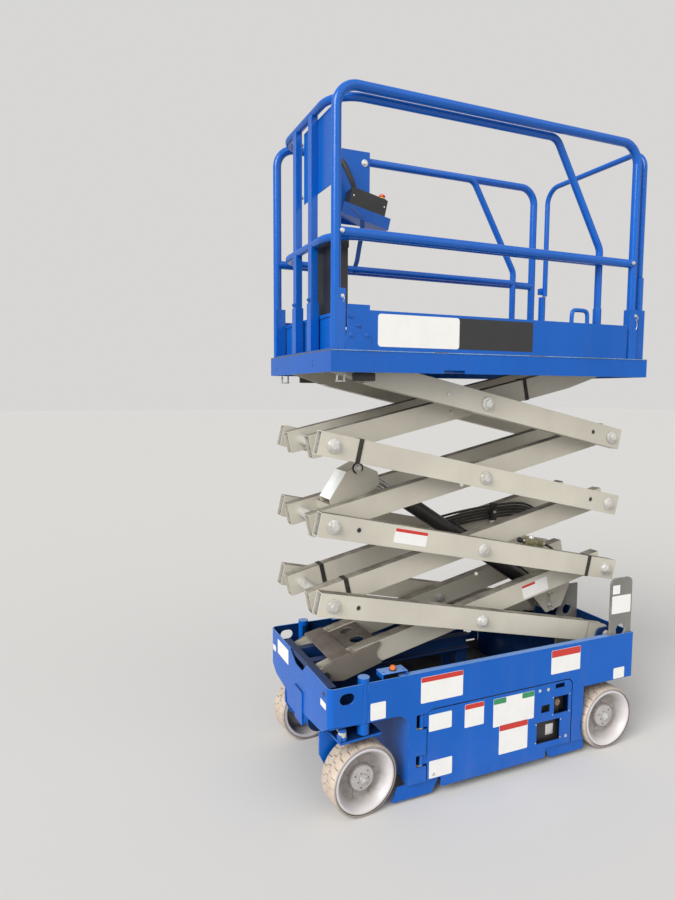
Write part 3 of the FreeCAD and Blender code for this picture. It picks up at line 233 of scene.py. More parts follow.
def rim_enamel(name, colour, shade_and_grime):
    """Light enamel of the rims; a vertex attribute gives the share of painted shade, most down the dish, broken up by
    noise, with light patchy grime over all.
    """
    paint = Shader(name)
    shade_share = paint.node("ShaderNodeAttribute", attribute_name="shade_and_grime").outputs["Fac"]
    cloud = paint.noise(26.0, 6.0, 0.65)
    edge_mask, rounded = paint.edges(0.0015)
    tone = paint.mix(paint.band(paint.noise(7.0, 3.0), 0.3, 0.7), shade(colour, 0.92), shade(colour, 1.06))
    # painted shade down the recessed dish, broken up by noise; the second noise band adds grime
    dish_shade = paint.times(shade_share, paint.band(cloud, 0.22, 0.72, 0.55, 1.0))
    tone = paint.mix(paint.plus(dish_shade, paint.band(cloud, 0.55, 0.80, 0.0, 0.12)), tone, shade_and_grime)
    tone = paint.mix(paint.band(edge_mask, 0.05, 0.3, 0.0, 0.5), tone, shade(colour, 1.5))
    paint.link(tone, "Base Color")
    paint.link(paint.plus(paint.band(cloud, 0.3, 0.7, 0.30, 0.42), paint.times(dish_shade, 0.4)),
               "Roughness")
    paint.base.inputs["Coat Weight"].default_value = 0.08
    paint.base.inputs["Coat Roughness"].default_value = 0.2
    paint.bump(cloud, 0.18, 0.0008, rounded)
    return paint.material


def rubber(name, colour, dust, lift=0.5):
    """Moulded rubber with a dusty bloom and fine grain."""
    tyre = Shader(name)
    broad = tyre.noise(9.0, 5.0, 0.6)
    fine = tyre.noise(120.0, 4.0, 0.6)
    edge_mask, rounded = tyre.edges(0.002)
    tone = tyre.mix(tyre.band(broad, 0.30, 0.70), shade(colour, 0.72), shade(colour, 1.18))
    tone = tyre.mix(tyre.times(tyre.band(fine, 0.42, 0.66), lift), tone, dust)
    tone = tyre.mix(tyre.band(edge_mask, 0.05, 0.4, 0.0, 0.35), tone, shade(colour, 1.5))
    tyre.link(tone, "Base Color")
    tyre.link(tyre.band(fine, 0.3, 0.7, 0.72, 0.92), "Roughness")
    tyre.bump(tyre.noise(420.0, 3.0), 0.25, 0.0008, rounded)
    return tyre.material


def bare_metal(name, colour, rough, grime, scale=60.0, metallic=0.9, bump=0.12):
    """Plated or machined steel with uneven sheen and grime."""
    steel = Shader(name)
    patch = steel.noise(scale, 4.0, 0.6)
    broad = steel.noise(14.0, 3.0)
    edge_mask, rounded = steel.edges(0.0012)
    tone = steel.mix(steel.band(patch, 0.35, 0.72), colour, shade(colour, 0.72))
    tone = steel.mix(steel.band(broad, 0.48, 0.74, 0.0, 0.55), tone, grime)
    tone = steel.mix(steel.band(edge_mask, 0.04, 0.3, 0.0, 0.4), tone, shade(colour, 1.3))
    steel.link(tone, "Base Color")
    steel.link(steel.band(patch, 0.3, 0.75, rough - 0.06, rough + 0.14), "Roughness")
    steel.base.inputs["Metallic"].default_value = metallic
    steel.bump(patch, bump, 0.0006, rounded)
    return steel.material


def moulded(name, colour, rough=0.45, grain=300.0, bump=0.15, dusting=0.12, dust=(0.30, 0.25, 0.19)):
    """Moulded plastic or satin coating with a fine grain and light dust."""
    plastic = Shader(name)
    fine = plastic.noise(grain, 3.0)
    broad = plastic.noise(7.0, 4.0)
    edge_mask, rounded = plastic.edges(0.0015)
    tone = plastic.mix(plastic.band(broad, 0.3, 0.7), shade(colour, 0.85), shade(colour, 1.2))
    tone = plastic.mix(plastic.band(edge_mask, 0.05, 0.35, 0.0, 0.3), tone, shade(colour, 2.2))
    level = plastic.band(plastic.axes(plastic.normal())["Z"], 0.5, 0.95, 0.3, 1.0)
    veil = plastic.times(plastic.band(broad, 0.35, 0.75), plastic.times(level, dusting))
    tone = plastic.mix(veil, tone, dust)
    plastic.link(tone, "Base Color")
    plastic.link(plastic.band(fine, 0.3, 0.7, rough - 0.07, rough + 0.1), "Roughness")
    plastic.bump(fine, bump, 0.0005, rounded)
    return plastic.material


def printed(name, colour):
    """Blank printed film: faint yellowing, scratches and handling marks."""
    film = Shader(name)
    broad = film.noise(16.0, 4.0)
    stretched = film.node("ShaderNodeMapping", {"Vector": film.place, "Rotation": (0.2, 0.5, 0.7),
                                                "Scale": (40.0, 40.0, 260.0)}).outputs[0]
    scratches = film.band(film.noise(1.0, 6.0, 0.7, stretched), 0.62, 0.72, 0.0, 0.35)
    tone = film.mix(film.band(broad, 0.35, 0.75, 0.0, 0.35), colour, shade(colour, 0.84))
    tone = film.mix(scratches, tone, shade(colour, 0.6))
    film.link(tone, "Base Color")
    film.link(film.band(broad, 0.3, 0.7, 0.34, 0.5), "Roughness")
    return film.material


def tread_plate(name, colour, dust):
    """Floor plate with raised bars laid alternately along and across, worn bright on top."""
    floor = Shader(name)
    outputs = floor.axes(floor.place)
    pitch = 0.030

    def bars(along, across, shift):
        cell_u = floor.plus(floor.maths("DIVIDE", outputs[along], pitch), shift)
        cell_v = floor.plus(floor.maths("DIVIDE", outputs[across], pitch), shift)
        part_u = floor.maths("SUBTRACT", floor.maths("FRACT", cell_u, 0.0), 0.5)
        part_v = floor.maths("SUBTRACT", floor.maths("FRACT", cell_v, 0.0), 0.5)
        far_u = floor.maths("POWER", floor.maths("ABSOLUTE", floor.maths("DIVIDE", part_u, 0.42), 0.0), 2.0)
        far_v = floor.maths("POWER", floor.maths("ABSOLUTE", floor.maths("DIVIDE", part_v, 0.12), 0.0), 2.0)
        return floor.band(floor.plus(far_u, far_v), 0.5, 1.0, 1.0, 0.0)

    raised = floor.maths("MAXIMUM", bars("X", "Y", 0.0), bars("Y", "X", 0.5))
    broad = floor.noise(4.0, 5.0)
    tone = floor.mix(floor.band(broad, 0.3, 0.7), shade(colour, 0.7), colour)
    tone = floor.mix(floor.times(raised, 0.5), tone, shade(colour, 1.9))
    tone = floor.mix(floor.band(floor.noise(22.0, 6.0, 0.7), 0.45, 0.75, 0.0, 0.5), tone, dust)
    floor.link(tone, "Base Color")
    floor.base.inputs["Metallic"].default_value = 0.5
    floor.link(floor.band(broad, 0.3, 0.7, 0.38, 0.6), "Roughness")
    floor.bump(raised, 0.8, 0.0015)
    return floor.material


# Mesh building

def aim(point, direction):
    """Matrix whose Z axis runs along a direction from a point."""
    return Matrix.Translation(Vector(point)) @ Vector(direction).to_track_quat("Z", "Y").to_matrix().to_4x4()


def bevel(bm, edges, width, segments=2):
    bmesh.ops.bevel(bm, geom=list(edges), offset=width, segments=segments, profile=0.5, affect="EDGES", material=-1,
                    clamp_overlap=True)


def block(bm, low, high, edge=0.0, segments=2, material=0, matrix=None):
    """Box between two corners with rounded edges."""
    low, high = Vector(low), Vector(high)
    verts = bmesh.ops.create_cube(bm, size=1.0)["verts"]
    bmesh.ops.scale(bm, vec=high - low, verts=verts)
    bmesh.ops.translate(bm, vec=(high + low) / 2, verts=verts)
    if matrix is not None:
        bmesh.ops.transform(bm, matrix=matrix, verts=verts)
    for face in {face for vert in verts for face in vert.link_faces}:
        face.material_index = material
    if edge > 0.0:
        bevel(bm, {item for vert in verts for item in vert.link_edges}, edge, segments)


def side_block(bm, side, low, high, edge, segments=2, material=0):
    """Block given for the left side, or its mirror image on the right."""
    y0, y1 = sorted((side * low[1], side * high[1]))
    block(bm, (low[0], y0, low[2]), (high[0], y1, high[2]), edge, segments, material)


def drum(bm, point, direction, radius, length, segments=28, edge=0.0, tip_radius=None, material=0):
    """Cylinder or cone starting at a point and running along a direction."""
    verts = bmesh.ops.create_cone(bm, cap_ends=True, cap_tris=False, segments=segments, radius1=radius,
                                  radius2=radius if tip_radius is None else tip_radius, depth=length)["verts"]
    bmesh.ops.translate(bm, vec=(0.0, 0.0, length / 2), verts=verts)
    bmesh.ops.transform(bm, matrix=aim(point, direction), verts=verts)
    for face in {face for vert in verts for face in vert.link_faces}:
        face.material_index = material
    if edge > 0.0:
        around = {item for vert in verts for item in vert.link_edges}
        bevel(bm, [item for item in around if any(len(face.verts) != 4 for face in item.link_faces)], edge)


def hex_head(bm, point, direction, flats, height, material=0):
    """Hexagon bolt head with a chamfered crown, standing on a point."""
    drum(bm, point, direction, flats / math.sqrt(3.0), height * 0.86, segments=6, material=material)
    direction = Vector(direction).normalized()
    drum(bm, Vector(point) + direction * height * 0.86, direction, flats / math.sqrt(3.0) * 0.98, height * 0.14,
         segments=6, tip_radius=flats * 0.46, material=material)


def bolt(bm, point, direction, washer, thick, flats, height, segments=20, edge=0.0, washer_material=0,
         head_material=0):
    """Washer with a hexagon head on it."""
    drum(bm, point, direction, washer, thick, segments, edge, material=washer_material)
    hex_head(bm, Vector(point) + Vector(direction) * thick, direction, flats, height, head_material)


def stud(bm, point, direction, collar, thick, pin, height, segments, edge=0.0):
    """Collar with a round pin on it; segments are those of the collar and of the pin."""
    drum(bm, point, direction, collar, thick, segments[0], edge)
    drum(bm, Vector(point) + Vector(direction) * thick, direction, pin, height, segments[1], 0.0008)


def ring(bm, centre, direction, profile, segments=64, material=0):
    """Spun ring; profile lists (distance along the axis, radius)."""
    verts = [bm.verts.new((radius, 0.0, along)) for along, radius in profile]
    edges = [bm.edges.new((verts[i], verts[(i + 1) % len(verts)])) for i in range(len(verts))]
    made = bmesh.ops.spin(bm, geom=verts + edges, cent=(0, 0, 0), axis=(0, 0, 1), angle=math.tau, steps=segments,
                          use_merge=True, use_duplicate=False)
    swept = {item for item in made["geom_last"] if isinstance(item, bmesh.types.BMVert)} | set(verts)
    faces = {face for vert in swept for face in vert.link_faces}
    grown = set(swept)
    while True:
        more = {vert for face in faces for vert in face.verts} - grown
        if not more:
            break
        grown |= more
        faces |= {face for vert in more for face in vert.link_faces}
    for face in faces:
        face.material_index = material
    bmesh.ops.transform(bm, matrix=aim(centre, direction), verts=list(grown))


def slab(bm, matrix, low, high, axis, corner, material=0):
    """Thin plate between two corners, rounded in its own plane across an axis (0 X, 1 Y, 2 Z)."""
    low, high = Vector(low), Vector(high)
    before = set(bm.faces)
    verts = bmesh.ops.create_cube(bm, size=1.0)["verts"]
    bmesh.ops.scale(bm, vec=high - low, verts=verts)
    bmesh.ops.translate(bm, vec=(high + low) / 2, verts=verts)
    upright = [edge for edge in {e for vert in verts for e in vert.link_edges}
               if abs((edge.verts[0].co - edge.verts[1].co).normalized()[axis]) > 0.9]
    bevel(bm, upright, corner, 4)
    faces = [face for face in bm.faces if face not in before]
    for face in faces:
        face.material_index = material
    bmesh.ops.transform(bm, matrix=matrix, verts=list({vert for face in faces for vert in face.verts}))


def settle(bm, name, body, materials, angle):
    """Turn a bmesh into a piece that rides on a body."""
    mesh = bpy.data.meshes.new(name)
    bm.to_mesh(mesh)
    bm.free()
    piece = bpy.data.objects.new(name, mesh)
    bpy.context.scene.collection.objects.link(piece)
    for material in materials:
        mesh.materials.append(finishes[material])
    mesh.polygons.foreach_set("use_smooth", [True] * len(mesh.polygons))
    mesh.set_sharp_from_angle(angle=math.radians(angle))
    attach(piece, body)
    return piece


def hose(name, body, material, points, radius):
    """Hose or wire held along its route by the body that it rides on."""
    curve = bpy.data.curves.new(name, "CURVE")
    curve.dimensions = "3D"
    curve.bevel_depth = radius
    curve.bevel_resolution = 4
    curve.resolution_u = 10
    curve.use_fill_caps = True
    spline = curve.splines.new("NURBS")
    spline.points.add(len(points) - 1)
    for target, point in zip(spline.points, points):
        target.co = (*point, 1.0)
    spline.order_u = 3
    spline.use_endpoint_u = True
    curve.materials.append(finishes[material])
    piece = bpy.data.objects.new(name, curve)
    bpy.context.scene.collection.objects.link(piece)
    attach(piece, body)


# Places on the scissor arms

slope = math.atan2(joint_at["inner_1_centre"].z - joint_at["lift"].z,
                   joint_at["inner_1_centre"].x - joint_at["lift"].x)
half_arm = (joint_at["inner_1_centre"] - joint_at["lift"]).length
centres = [joint_at["inner_1_centre"], joint_at["outer_2_centre"], joint_at["inner_3_centre"],
           joint_at["outer_4_centre"]]


def arm_frame(level, outer):
    """Matrix of an arm: X along it towards the front, Z square to it, origin at its centre pin."""
    turn = Matrix.Rotation(-slope if outer else slope, 4, "Y")
    return Matrix.Translation(centres[level - 1]) @ turn


def arm_point(level, outer, along, side, above):
    return arm_frame(level, outer) @ Vector((along, side, above))


# Faces that plates, bolts and fittings stand on, as distances from the middle plane, and shared measures

WALL_FACE = 0.3760
TOEBOARD_FACE = 0.3720
UPRIGHT_FACE = 0.3640
OUTER_ARM_FACE = 0.2600
INNER_ARM_FACE = 0.1600
OUTER_ARM_Y = 0.234
INNER_ARM_Y = 0.134
FRONT_FACE = 0.8221
BAND_FACE = 0.8180
FILM_GAP = 0.00005
TREAD_RADIUS = 0.1525
GROOVE_FLOOR = 0.1480
SIDES = ((1, "left"), (-1, "right"))


# Operators: one for the finishes and one for each group of like pieces

class LIFT_OT_finishes(bpy.types.Operator):
    """Build the finishes and put them on the carried-over nodes"""
    bl_idname = "lift.finishes"
    bl_label = "Finishes"

    def execute(self, context):
        colours = context.scene.lift_colours
        blue, arm, dust = tuple(colours.blue), tuple(colours.arm), tuple(colours.dust)
        pale_blue = (0.20, 0.38, 0.70)
        # dark blue: painted shade on the chassis faces that look inwards
        inside_shade_blue = (0.003, 0.018, 0.065)
        recipes = {
            "blue chassis": (enamel, blue, dust, 0.32, 0.06, 0.0015, 0.8, 0.09, 0.12, pale_blue, inside_shade_blue,
                             0.07, 0.25),
            # darker copy of the body blue: painted shade on the parts inside the chassis
            "blue inner": (enamel, (0.004, 0.030, 0.12), (0.05, 0.045, 0.04), 0.45, 0.05, 0.003, 0.3, 0.3, 0.5,
                           (0.05, 0.12, 0.30)),
            "blue platform": (enamel, shade(blue, 0.95), dust, 0.30, 0.12, 0.0014, 0.9, 0.0, 0.10,
                              (0.45, 0.52, 0.62), None, 0.07, 0.25),
            # pale colour on upward faces: a painted highlight along the band's top edge; the pale chips are scuffs
            "scuffed blue": (enamel, (0.10, 0.26, 0.56), (0.72, 0.76, 0.80), 0.4, 0.05, 0.002, 1.0, 0.0, 0.9,
                             (0.80, 0.84, 0.88), None, 0.5, 0.3),
            "blue rail": (enamel, blue, dust, 0.25, 0.20, 0.0020, 0.4, 0.0, 0.08, pale_blue, None, 0.06, 0.3),
            "arm grey": (enamel, arm, (0.085, 0.068, 0.052), 0.42, 0.08, 0.0030, 0.5, 0.0, 0.95,
                         (0.82, 0.80, 0.74), None, 0.10),
            # dark copy of the arm grey: painted shade on the nose frame
            "nose grey": (enamel, (0.20, 0.175, 0.15), (0.07, 0.055, 0.042), 0.5, 0.05, 0.003, 0.8, 0.0, 0.9,
                          (0.60, 0.56, 0.50), None, 0.18),
            # dark copy of the arm grey: painted shade on the rear uprights
            "upright grey": (enamel, (0.19, 0.185, 0.17), (0.11, 0.095, 0.075), 0.45, 0.08, 0.003, 0.9, 0.0, 0.6,
                             (0.80, 0.79, 0.75), None, 0.16),
            # the dark colour is painted shade in the rim dish, with some grime
            "rim grey": (rim_enamel, tuple(colours.rim), (0.15, 0.12, 0.10)),
            "tyre rubber": (rubber, tuple(colours.rubber), (0.62, 0.54, 0.45)),
            # darker grey copy of the tyre rubber: painted shade on the sidewalls
            "tyre wall": (rubber, (0.33, 0.30, 0.285), (0.42, 0.37, 0.32), 0.35),
            "tyre groove": (moulded, (0.085, 0.062, 0.045), 0.85, 160.0, 0.3, 0.25),
            "zinc": (bare_metal, (0.74, 0.73, 0.70), 0.34, (0.34, 0.29, 0.22), 60.0, 0.55),
            "raw steel": (bare_metal, (0.30, 0.28, 0.26), 0.5, (0.12, 0.08, 0.05)),
            "chrome": (bare_metal, (0.82, 0.82, 0.82), 0.10, (0.5, 0.48, 0.45), 20.0, 1.0, 0.02),
            "black satin": (moulded, (0.012, 0.012, 0.013), 0.38),
            "black rubber": (moulded, (0.014, 0.013, 0.012), 0.62, 180.0, 0.3, 0.22),
            "slide block": (moulded, (0.03, 0.028, 0.026), 0.5),
            "blank plate": (printed, tuple(colours.plate)),
            "red band": (printed, tuple(colours.red)),
            "green band": (printed, tuple(colours.green)),
            "black plate": (printed, (0.02, 0.02, 0.022)),
            "lamp": (moulded, tuple(colours.orange), 0.25, 120.0, 0.1, 0.08),
            "knob red": (moulded, (0.62, 0.05, 0.02), 0.3, 200.0, 0.08),
            "knob yellow": (moulded, (0.75, 0.45, 0.03), 0.4, 200.0, 0.08),
            "plug brown": (moulded, (0.16, 0.09, 0.035), 0.5, 160.0, 0.2, 0.35),
            "valve olive": (bare_metal, (0.24, 0.22, 0.12), 0.5, (0.10, 0.08, 0.05), 60.0, 0.6),
            "liner": (moulded, (0.17, 0.175, 0.18), 0.6, 60.0, 0.5, 0.3),
            "bracket white": (moulded, (0.80, 0.82, 0.80), 0.55, 40.0, 0.4, 0.2),
            "strap blue": (moulded, (0.03, 0.10, 0.32), 0.8, 500.0, 0.5),
            "floor plate": (tread_plate, (0.16, 0.155, 0.15), dust)}
        for name, (builder, *settings) in recipes.items():
            finishes[name] = builder(name, *settings)
        by_slot = {"blue_paint": "blue chassis", "arm_paint": "arm grey", "rim_paint": "rim grey",
                   "tyre": "tyre rubber", "zinc_steel": "zinc", "rod_chrome": "chrome",
                   "black_paint": "black satin", "block_plastic": "slide block", "floor_plate": "floor plate"}
        rails = ("guardrail_left", "guardrail_right", "extension_rails", "gate", "gate_posts")
        deck = ("platform_frame", "toeboards", "extension_deck", "control_tray", "sign_panel", "pothole_guards")
        # these nodes inside the chassis take the darker blue, which is painted shade
        inside = ("chassis_rails", "module_left", "module_right", "cylinder_mount_low")
        # the nose frame and rear uprights take dark greys, which are painted shade
        by_node = {**dict.fromkeys(rails, "blue rail"), **dict.fromkeys(deck, "blue platform"),
                   "nose_frame": "nose grey", "rear_uprights": "upright grey"}
        for part in frame["record"]["subparts"]:
            finish = by_node.get(part["node"], by_slot[part["material_slot"]])
            if part["node"] in inside and finish == "blue chassis":
                finish = "blue inner"
            materials = nodes[part["node"]].data.materials
            materials.clear()
            materials.append(finishes[finish])
        return {"FINISHED"}


WHEELS = (("front_left", 1), ("front_right", -1), ("rear_left", 1), ("rear_right", -1))


def wheel_axle(name):
    """Centre of a wheel and the direction of its axle."""
    row = next(joint for joint in frame["joints"] if joint["name"] == "wheel_%s_spin" % name)
    return Vector(row["pos_m"]), Vector(row["axis"]).normalized()


def tread_block(bm, matrix, angle, hand, half_angle):
    """One tread block with a stepped side, from the middle groove over the shoulder."""
    stations = [(0.0010, 0.0, TREAD_RADIUS), (0.0150, 0.0, TREAD_RADIUS), (0.0250, 0.090, TREAD_RADIUS),
                (0.0440, 0.095, TREAD_RADIUS), (0.0488, 0.095, 0.1514), (0.0520, 0.095, 0.1494)]
    rows = []
    for across, swing, top in stations:
        places = [(turn, top) for turn in (-1.0, -0.5, 0.0, 0.5, 1.0)] + [(1.0, GROOVE_FLOOR), (-1.0, GROOVE_FLOOR)]
        rows.append([bm.verts.new(matrix @ Vector((radius * math.cos(angle + swing + turn * half_angle),
                                                   radius * math.sin(angle + swing + turn * half_angle),
                                                   hand * across))) for turn, radius in places])
    for first, second in zip(rows, rows[1:]):
        for i in range(7):
            j = (i + 1) % 7
            bm.faces.new((first[i], first[j], second[j], second[i]))
    bm.faces.new(rows[0])
    bm.faces.new(tuple(reversed(rows[-1])))


# Half of the carcass from the middle to the bead, as (distance along the axle, radius)
TYRE_HALF = [(0.0, 0.1487), (0.0450, 0.1487), (0.0505, 0.1484), (0.0545, 0.1470), (0.0565, 0.1448), (0.0570, 0.1425),
             (0.0567, 0.1406), (0.0555, 0.1399), (0.0520, 0.1399), (0.0518, 0.1324)]


class LIFT_OT_tyres(bpy.types.Operator):
    """Mould the tyres with a carcass, smooth sidewalls and stepped tread blocks"""
    bl_idname = "lift.tyres"
    bl_label = "Tyres"

    def execute(self, context):
        sizes = context.scene.lift_sizes
        profile = [(-along, radius) for along, radius in reversed(TYRE_HALF)] + TYRE_HALF[1:]
        pitch = math.tau / sizes.block_count
        half_angle = pitch / 2 - sizes.groove / (2 * TREAD_RADIUS)
        tread_half_width, groove_rim, bead_rim, wall_start = 0.051, 0.1475, 0.1404, 0.0530
        for name, _ in WHEELS:
            centre, axis = wheel_axle(name)
            matrix = aim(centre, axis)
            bm = bmesh.new()
            ring(bm, centre, axis, profile, segments=120)
            to_wheel = matrix.inverted()
            for face in bm.faces:
                place = to_wheel @ face.calc_center_median()
                radius = math.hypot(place.x, place.y)
                # faces below bead_rim take the dark groove rubber: a painted shade line between the rim lip and the
                # sidewall
                if (abs(place.z) < tread_half_width and radius > groove_rim) or radius < bead_rim:
                    face.material_index = 1
                # sidewall faces take the darker rubber, which is painted shade
                elif abs(place.z) > wall_start:
                    face.material_index = 2
            for i in range(sizes.block_count):
                tread_block(bm, matrix, pitch * i, 1, half_angle)
                tread_block(bm, matrix, pitch * (i + 0.5), -1, half_angle)
            bmesh.ops.recalc_face_normals(bm, faces=bm.faces[:])
            piece = settle(bm, "tread_" + name, "wheel_" + name, ["tyre rubber", "tyre groove", "tyre wall"],
                           38.0)
            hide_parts("tyre_" + name)
        return {"FINISHED"}


# Outer face of a rim from the axle to the lip, then its inner side back to the axle, as (distance, radius)
RIM_FACE = [(0.0300, 0.0045), (0.0300, 0.0200), (0.0310, 0.0210), (0.0310, 0.0290), (0.0300, 0.0300),
            (0.0300, 0.0480), (0.0292, 0.0510), (0.0270, 0.0530), (0.0235, 0.0538), (0.0105, 0.0545),
            (0.0075, 0.0560), (0.0066, 0.0600), (0.0070, 0.0760), (0.0084, 0.0778), (0.0084, 0.0800),
            (0.0070, 0.0818), (0.0070, 0.0925), (0.0082, 0.0962), (0.0115, 0.0992), (0.0300, 0.1105),
            (0.0440, 0.1190), (0.0492, 0.1218), (0.0530, 0.1240), (0.0556, 0.1262), (0.0570, 0.1290),
            (0.0572, 0.1325), (0.0564, 0.1356), (0.0548, 0.1374), (0.0530, 0.1380)]
RIM_BACK = [(0.0522, 0.1392), (0.0516, 0.1320), (-0.0516, 0.1320), (-0.0522, 0.1392), (-0.0562, 0.1390),
            (-0.0570, 0.1378), (-0.0570, 0.1280), (-0.0555, 0.1262), (0.0340, 0.1258), (-0.0008, 0.0985),
            (-0.0008, 0.0542), (-0.0290, 0.0540), (-0.0300, 0.0530), (-0.0300, 0.0202), (0.0222, 0.0202),
            (0.0222, 0.0045)]


def painted_shade_at(radius):
    """Share of painted shade on a rim: little on the lip, growing down the dish, less on the hub."""
    lip, floor, hub = 0.1200, 0.0985, 0.0540
    if radius > lip:
        return 0.05
    if radius > floor:
        return 0.75 - (radius - floor) / (lip - floor) * 0.70
    return 0.85 if radius > hub else 0.45


class LIFT_OT_rims(bpy.types.Operator):
    """Spin the dished rims with rolled lips and add the hub holes, seams and axle nuts"""
    bl_idname = "lift.rims"
    bl_label = "Rims"

    def execute(self, context):
        draw = random.Random(11)
        for name, side in WHEELS:
            centre, axis = wheel_axle(name)
            out = axis * side
            across = aim(centre, out)
            bm = bmesh.new()
            ring(bm, centre, out, RIM_FACE + RIM_BACK, segments=120)
            bmesh.ops.recalc_face_normals(bm, faces=bm.faces[:])
            piece = settle(bm, "rim_dressed_" + name, "wheel_" + name, ["rim grey"], 32.0)
            # vertex attribute: share of painted shade by radius
            shade_and_grime = piece.data.attributes.new("shade_and_grime", "FLOAT", "POINT")
            to_wheel = across.inverted()
            for index, vert in enumerate(piece.data.vertices):
                place = to_wheel @ vert.co
                shade_and_grime.data[index].value = painted_shade_at(math.hypot(place.x, place.y))
            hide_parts("rim_" + name)
            bm = bmesh.new()
            hex_head(bm, centre + out * 0.0300, out, 0.034, 0.0090)
            for i in range(6):
                turn = Matrix.Rotation(math.tau * i / 6, 4, "Z")
                block(bm, (0.0090, -0.0048, 0.0388), (0.0150, 0.0048, 0.0440), 0.0008, 1, 0, across @ turn)
            drum(bm, centre + out * 0.0310, out, 0.0088, 0.0160, 24, 0.0010)
            block(bm, (-0.0200, -0.0014, 0.0408), (0.0200, 0.0014, 0.0432), 0.0006, 1, 0,
                  across @ Matrix.Rotation(0.6, 4, "Z"))
            # black discs on the hub face: painted shade of the hub holes
            for i in range(7):
                turn = math.tau * i / 7 + draw.uniform(-0.1, 0.1)
                reach = 0.0385 if i % 2 else 0.0255
                seat = across @ Vector((reach * math.cos(turn), reach * math.sin(turn), 0.0298))
                drum(bm, seat, out, 0.0030, 0.0016, 12, material=1)
            # black ring round the hub's base: painted shade in the groove there
            ring(bm, centre, out, [(0.0064, 0.0552), (0.0074, 0.0552), (0.0074, 0.0572), (0.0064, 0.0572)], 64, 1)
            for i in range(5):
                for step in range(5):
                    swing = math.tau * i / 5 + 0.35 + 0.05 * step * (1 if i % 2 else -1)
                    low = 0.0590 + 0.0065 * step
                    block(bm, (low, -0.0006, 0.0068), (low + 0.0070, 0.0006, 0.0074), 0.0, 1, 1,
                          across @ Matrix.Rotation(swing, 4, "Z"))
            settle(bm, "hub_trim_" + name, "wheel_" + name, ["zinc", "black rubber"], 35.0)
        return {"FINISHED"}


class LIFT_OT_bolts(bpy.types.Operator):
    """Put hexagon heads on the arm pins and small bolts on the arms, toeboards and front posts"""
    bl_idname = "lift.bolts"
    bl_label = "Bolts"

    def execute(self, context):
        flats = context.scene.lift_sizes.bolt_flats
        outer_seat, inner_seat = 0.2674, 0.2034
        ends = {1: (0.0, -half_arm), 2: (0.0, -half_arm, half_arm), 3: (0.0, -half_arm, half_arm),
                4: (0.0, half_arm)}
        for level, places in ends.items():
            bm = bmesh.new()
            seats = [(along, outer_seat) for along in places]
            if level == 4:
                seats.append((-half_arm, inner_seat))
            for along, face in seats:
                for side in (-1, 1):
                    seat = arm_point(level, False, along, side * face, 0.0)
                    out = Y * side
                    drum(bm, seat - out * 0.0070, out, 0.0290, 0.0075, 36, 0.0010)
                    bolt(bm, seat + out * 0.0005, out, 0.0235, 0.0028, flats, 0.0120, 32, 0.0008)
                    drum(bm, seat + out * 0.0152, out, flats * 0.30, 0.0022, 24, 0.0006, material=1)
            settle(bm, "pin_heads_%d" % level, "inner_%d" % level, ["zinc", "raw steel"], 30.0)
        bm = bmesh.new()
        for side in (-1, 1):
            bolt(bm, arm_point(1, False, 0.0, side * 0.0996, 0.0), -Y * side, 0.0240, 0.0025, 0.032, 0.0110, 32,
                 0.0008)
        settle(bm, "inner_pin_heads", "inner_1", ["zinc"], 30.0)
        bm = bmesh.new()
        for side in (-1, 1):
            seat = Vector((joint_at["lift"].x, side * 0.278, joint_at["lift"].z))
            bolt(bm, seat, Y * side, 0.021, 0.004, flats, 0.012, 28, 0.0008, washer_material=1)
        settle(bm, "foot_pin_heads", "outer_1", ["zinc", "raw steel"], 30.0)
        small = {"outer_1": (0.055, 0.2598, 0.924), "outer_3": (0.143, 0.2598, 1.333),
                 "outer_4": (0.219, 0.2598, 1.732), "inner_4": (0.14, 0.1598, 1.65)}
        for body, (x, y, z) in small.items():
            bm = bmesh.new()
            for side in (-1, 1):
                bolt(bm, (x, side * y, z), Y * side, 0.0085, 0.0014, 0.012, 0.006)
            settle(bm, "small_bolts_" + body, body, ["zinc"], 30.0)
        bm = bmesh.new()
        for side in (-1, 1):
            for x, z in ((0.737, 2.025), (0.704, 1.992), (0.669, 1.954), (0.735, 1.953)):
                bolt(bm, (x, side * 0.3722, z), Y * side, 0.0088, 0.0013, 0.011, 0.0055)
        settle(bm, "toeboard_bolts", "platform", ["blue platform"], 30.0)
        bm = bmesh.new()
        for side in (-1, 1):
            bolt(bm, (0.8002, side * 0.092, 2.118), X, 0.0095, 0.0016, 0.012, 0.0055, 20, 0.0005)
        settle(bm, "front_post_bolts", "extension", ["blue platform"], 30.0)
        return {"FINISHED"}


PLATE_FINISHES = ["blank plate", "red band", "green band", "black plate"]

# Blank plates on the side walls: body, rear x, front x, low z, high z, band material, share of the band
SIDE_PLATES = [
    ("chassis", 0.193, 0.403, 0.433, 0.546, 1, 0.20), ("chassis", -0.468, -0.294, 0.437, 0.551, 1, 0.30),
    ("chassis", -0.754, -0.684, 0.346, 0.400, 0, 0.0), ("chassis", 0.569, 0.639, 0.406, 0.479, 0, 0.0),
    ("door", 0.247, 0.361, 0.300, 0.374, 0, 0.0), ("door", 0.079, 0.180, 0.279, 0.384, 1, 0.22),
    ("door", -0.200, 0.028, 0.248, 0.380, 2, 0.20), ("door", -0.167, -0.007, 0.113, 0.250, 1, 0.20),
    ("door", 0.241, 0.357, 0.089, 0.167, 0, 0.0)]

# Blank plates on the front wall: y range, z range, corner radius, finish
FRONT_PLATES = [((-0.345, -0.300), (0.466, 0.494), 0.004, 0), ((-0.270, -0.113), (0.475, 0.545), 0.004, 0),
                ((0.287, 0.345), (0.473, 0.500), 0.004, 0), ((0.312, 0.331), (0.522, 0.540), 0.003, 3)]


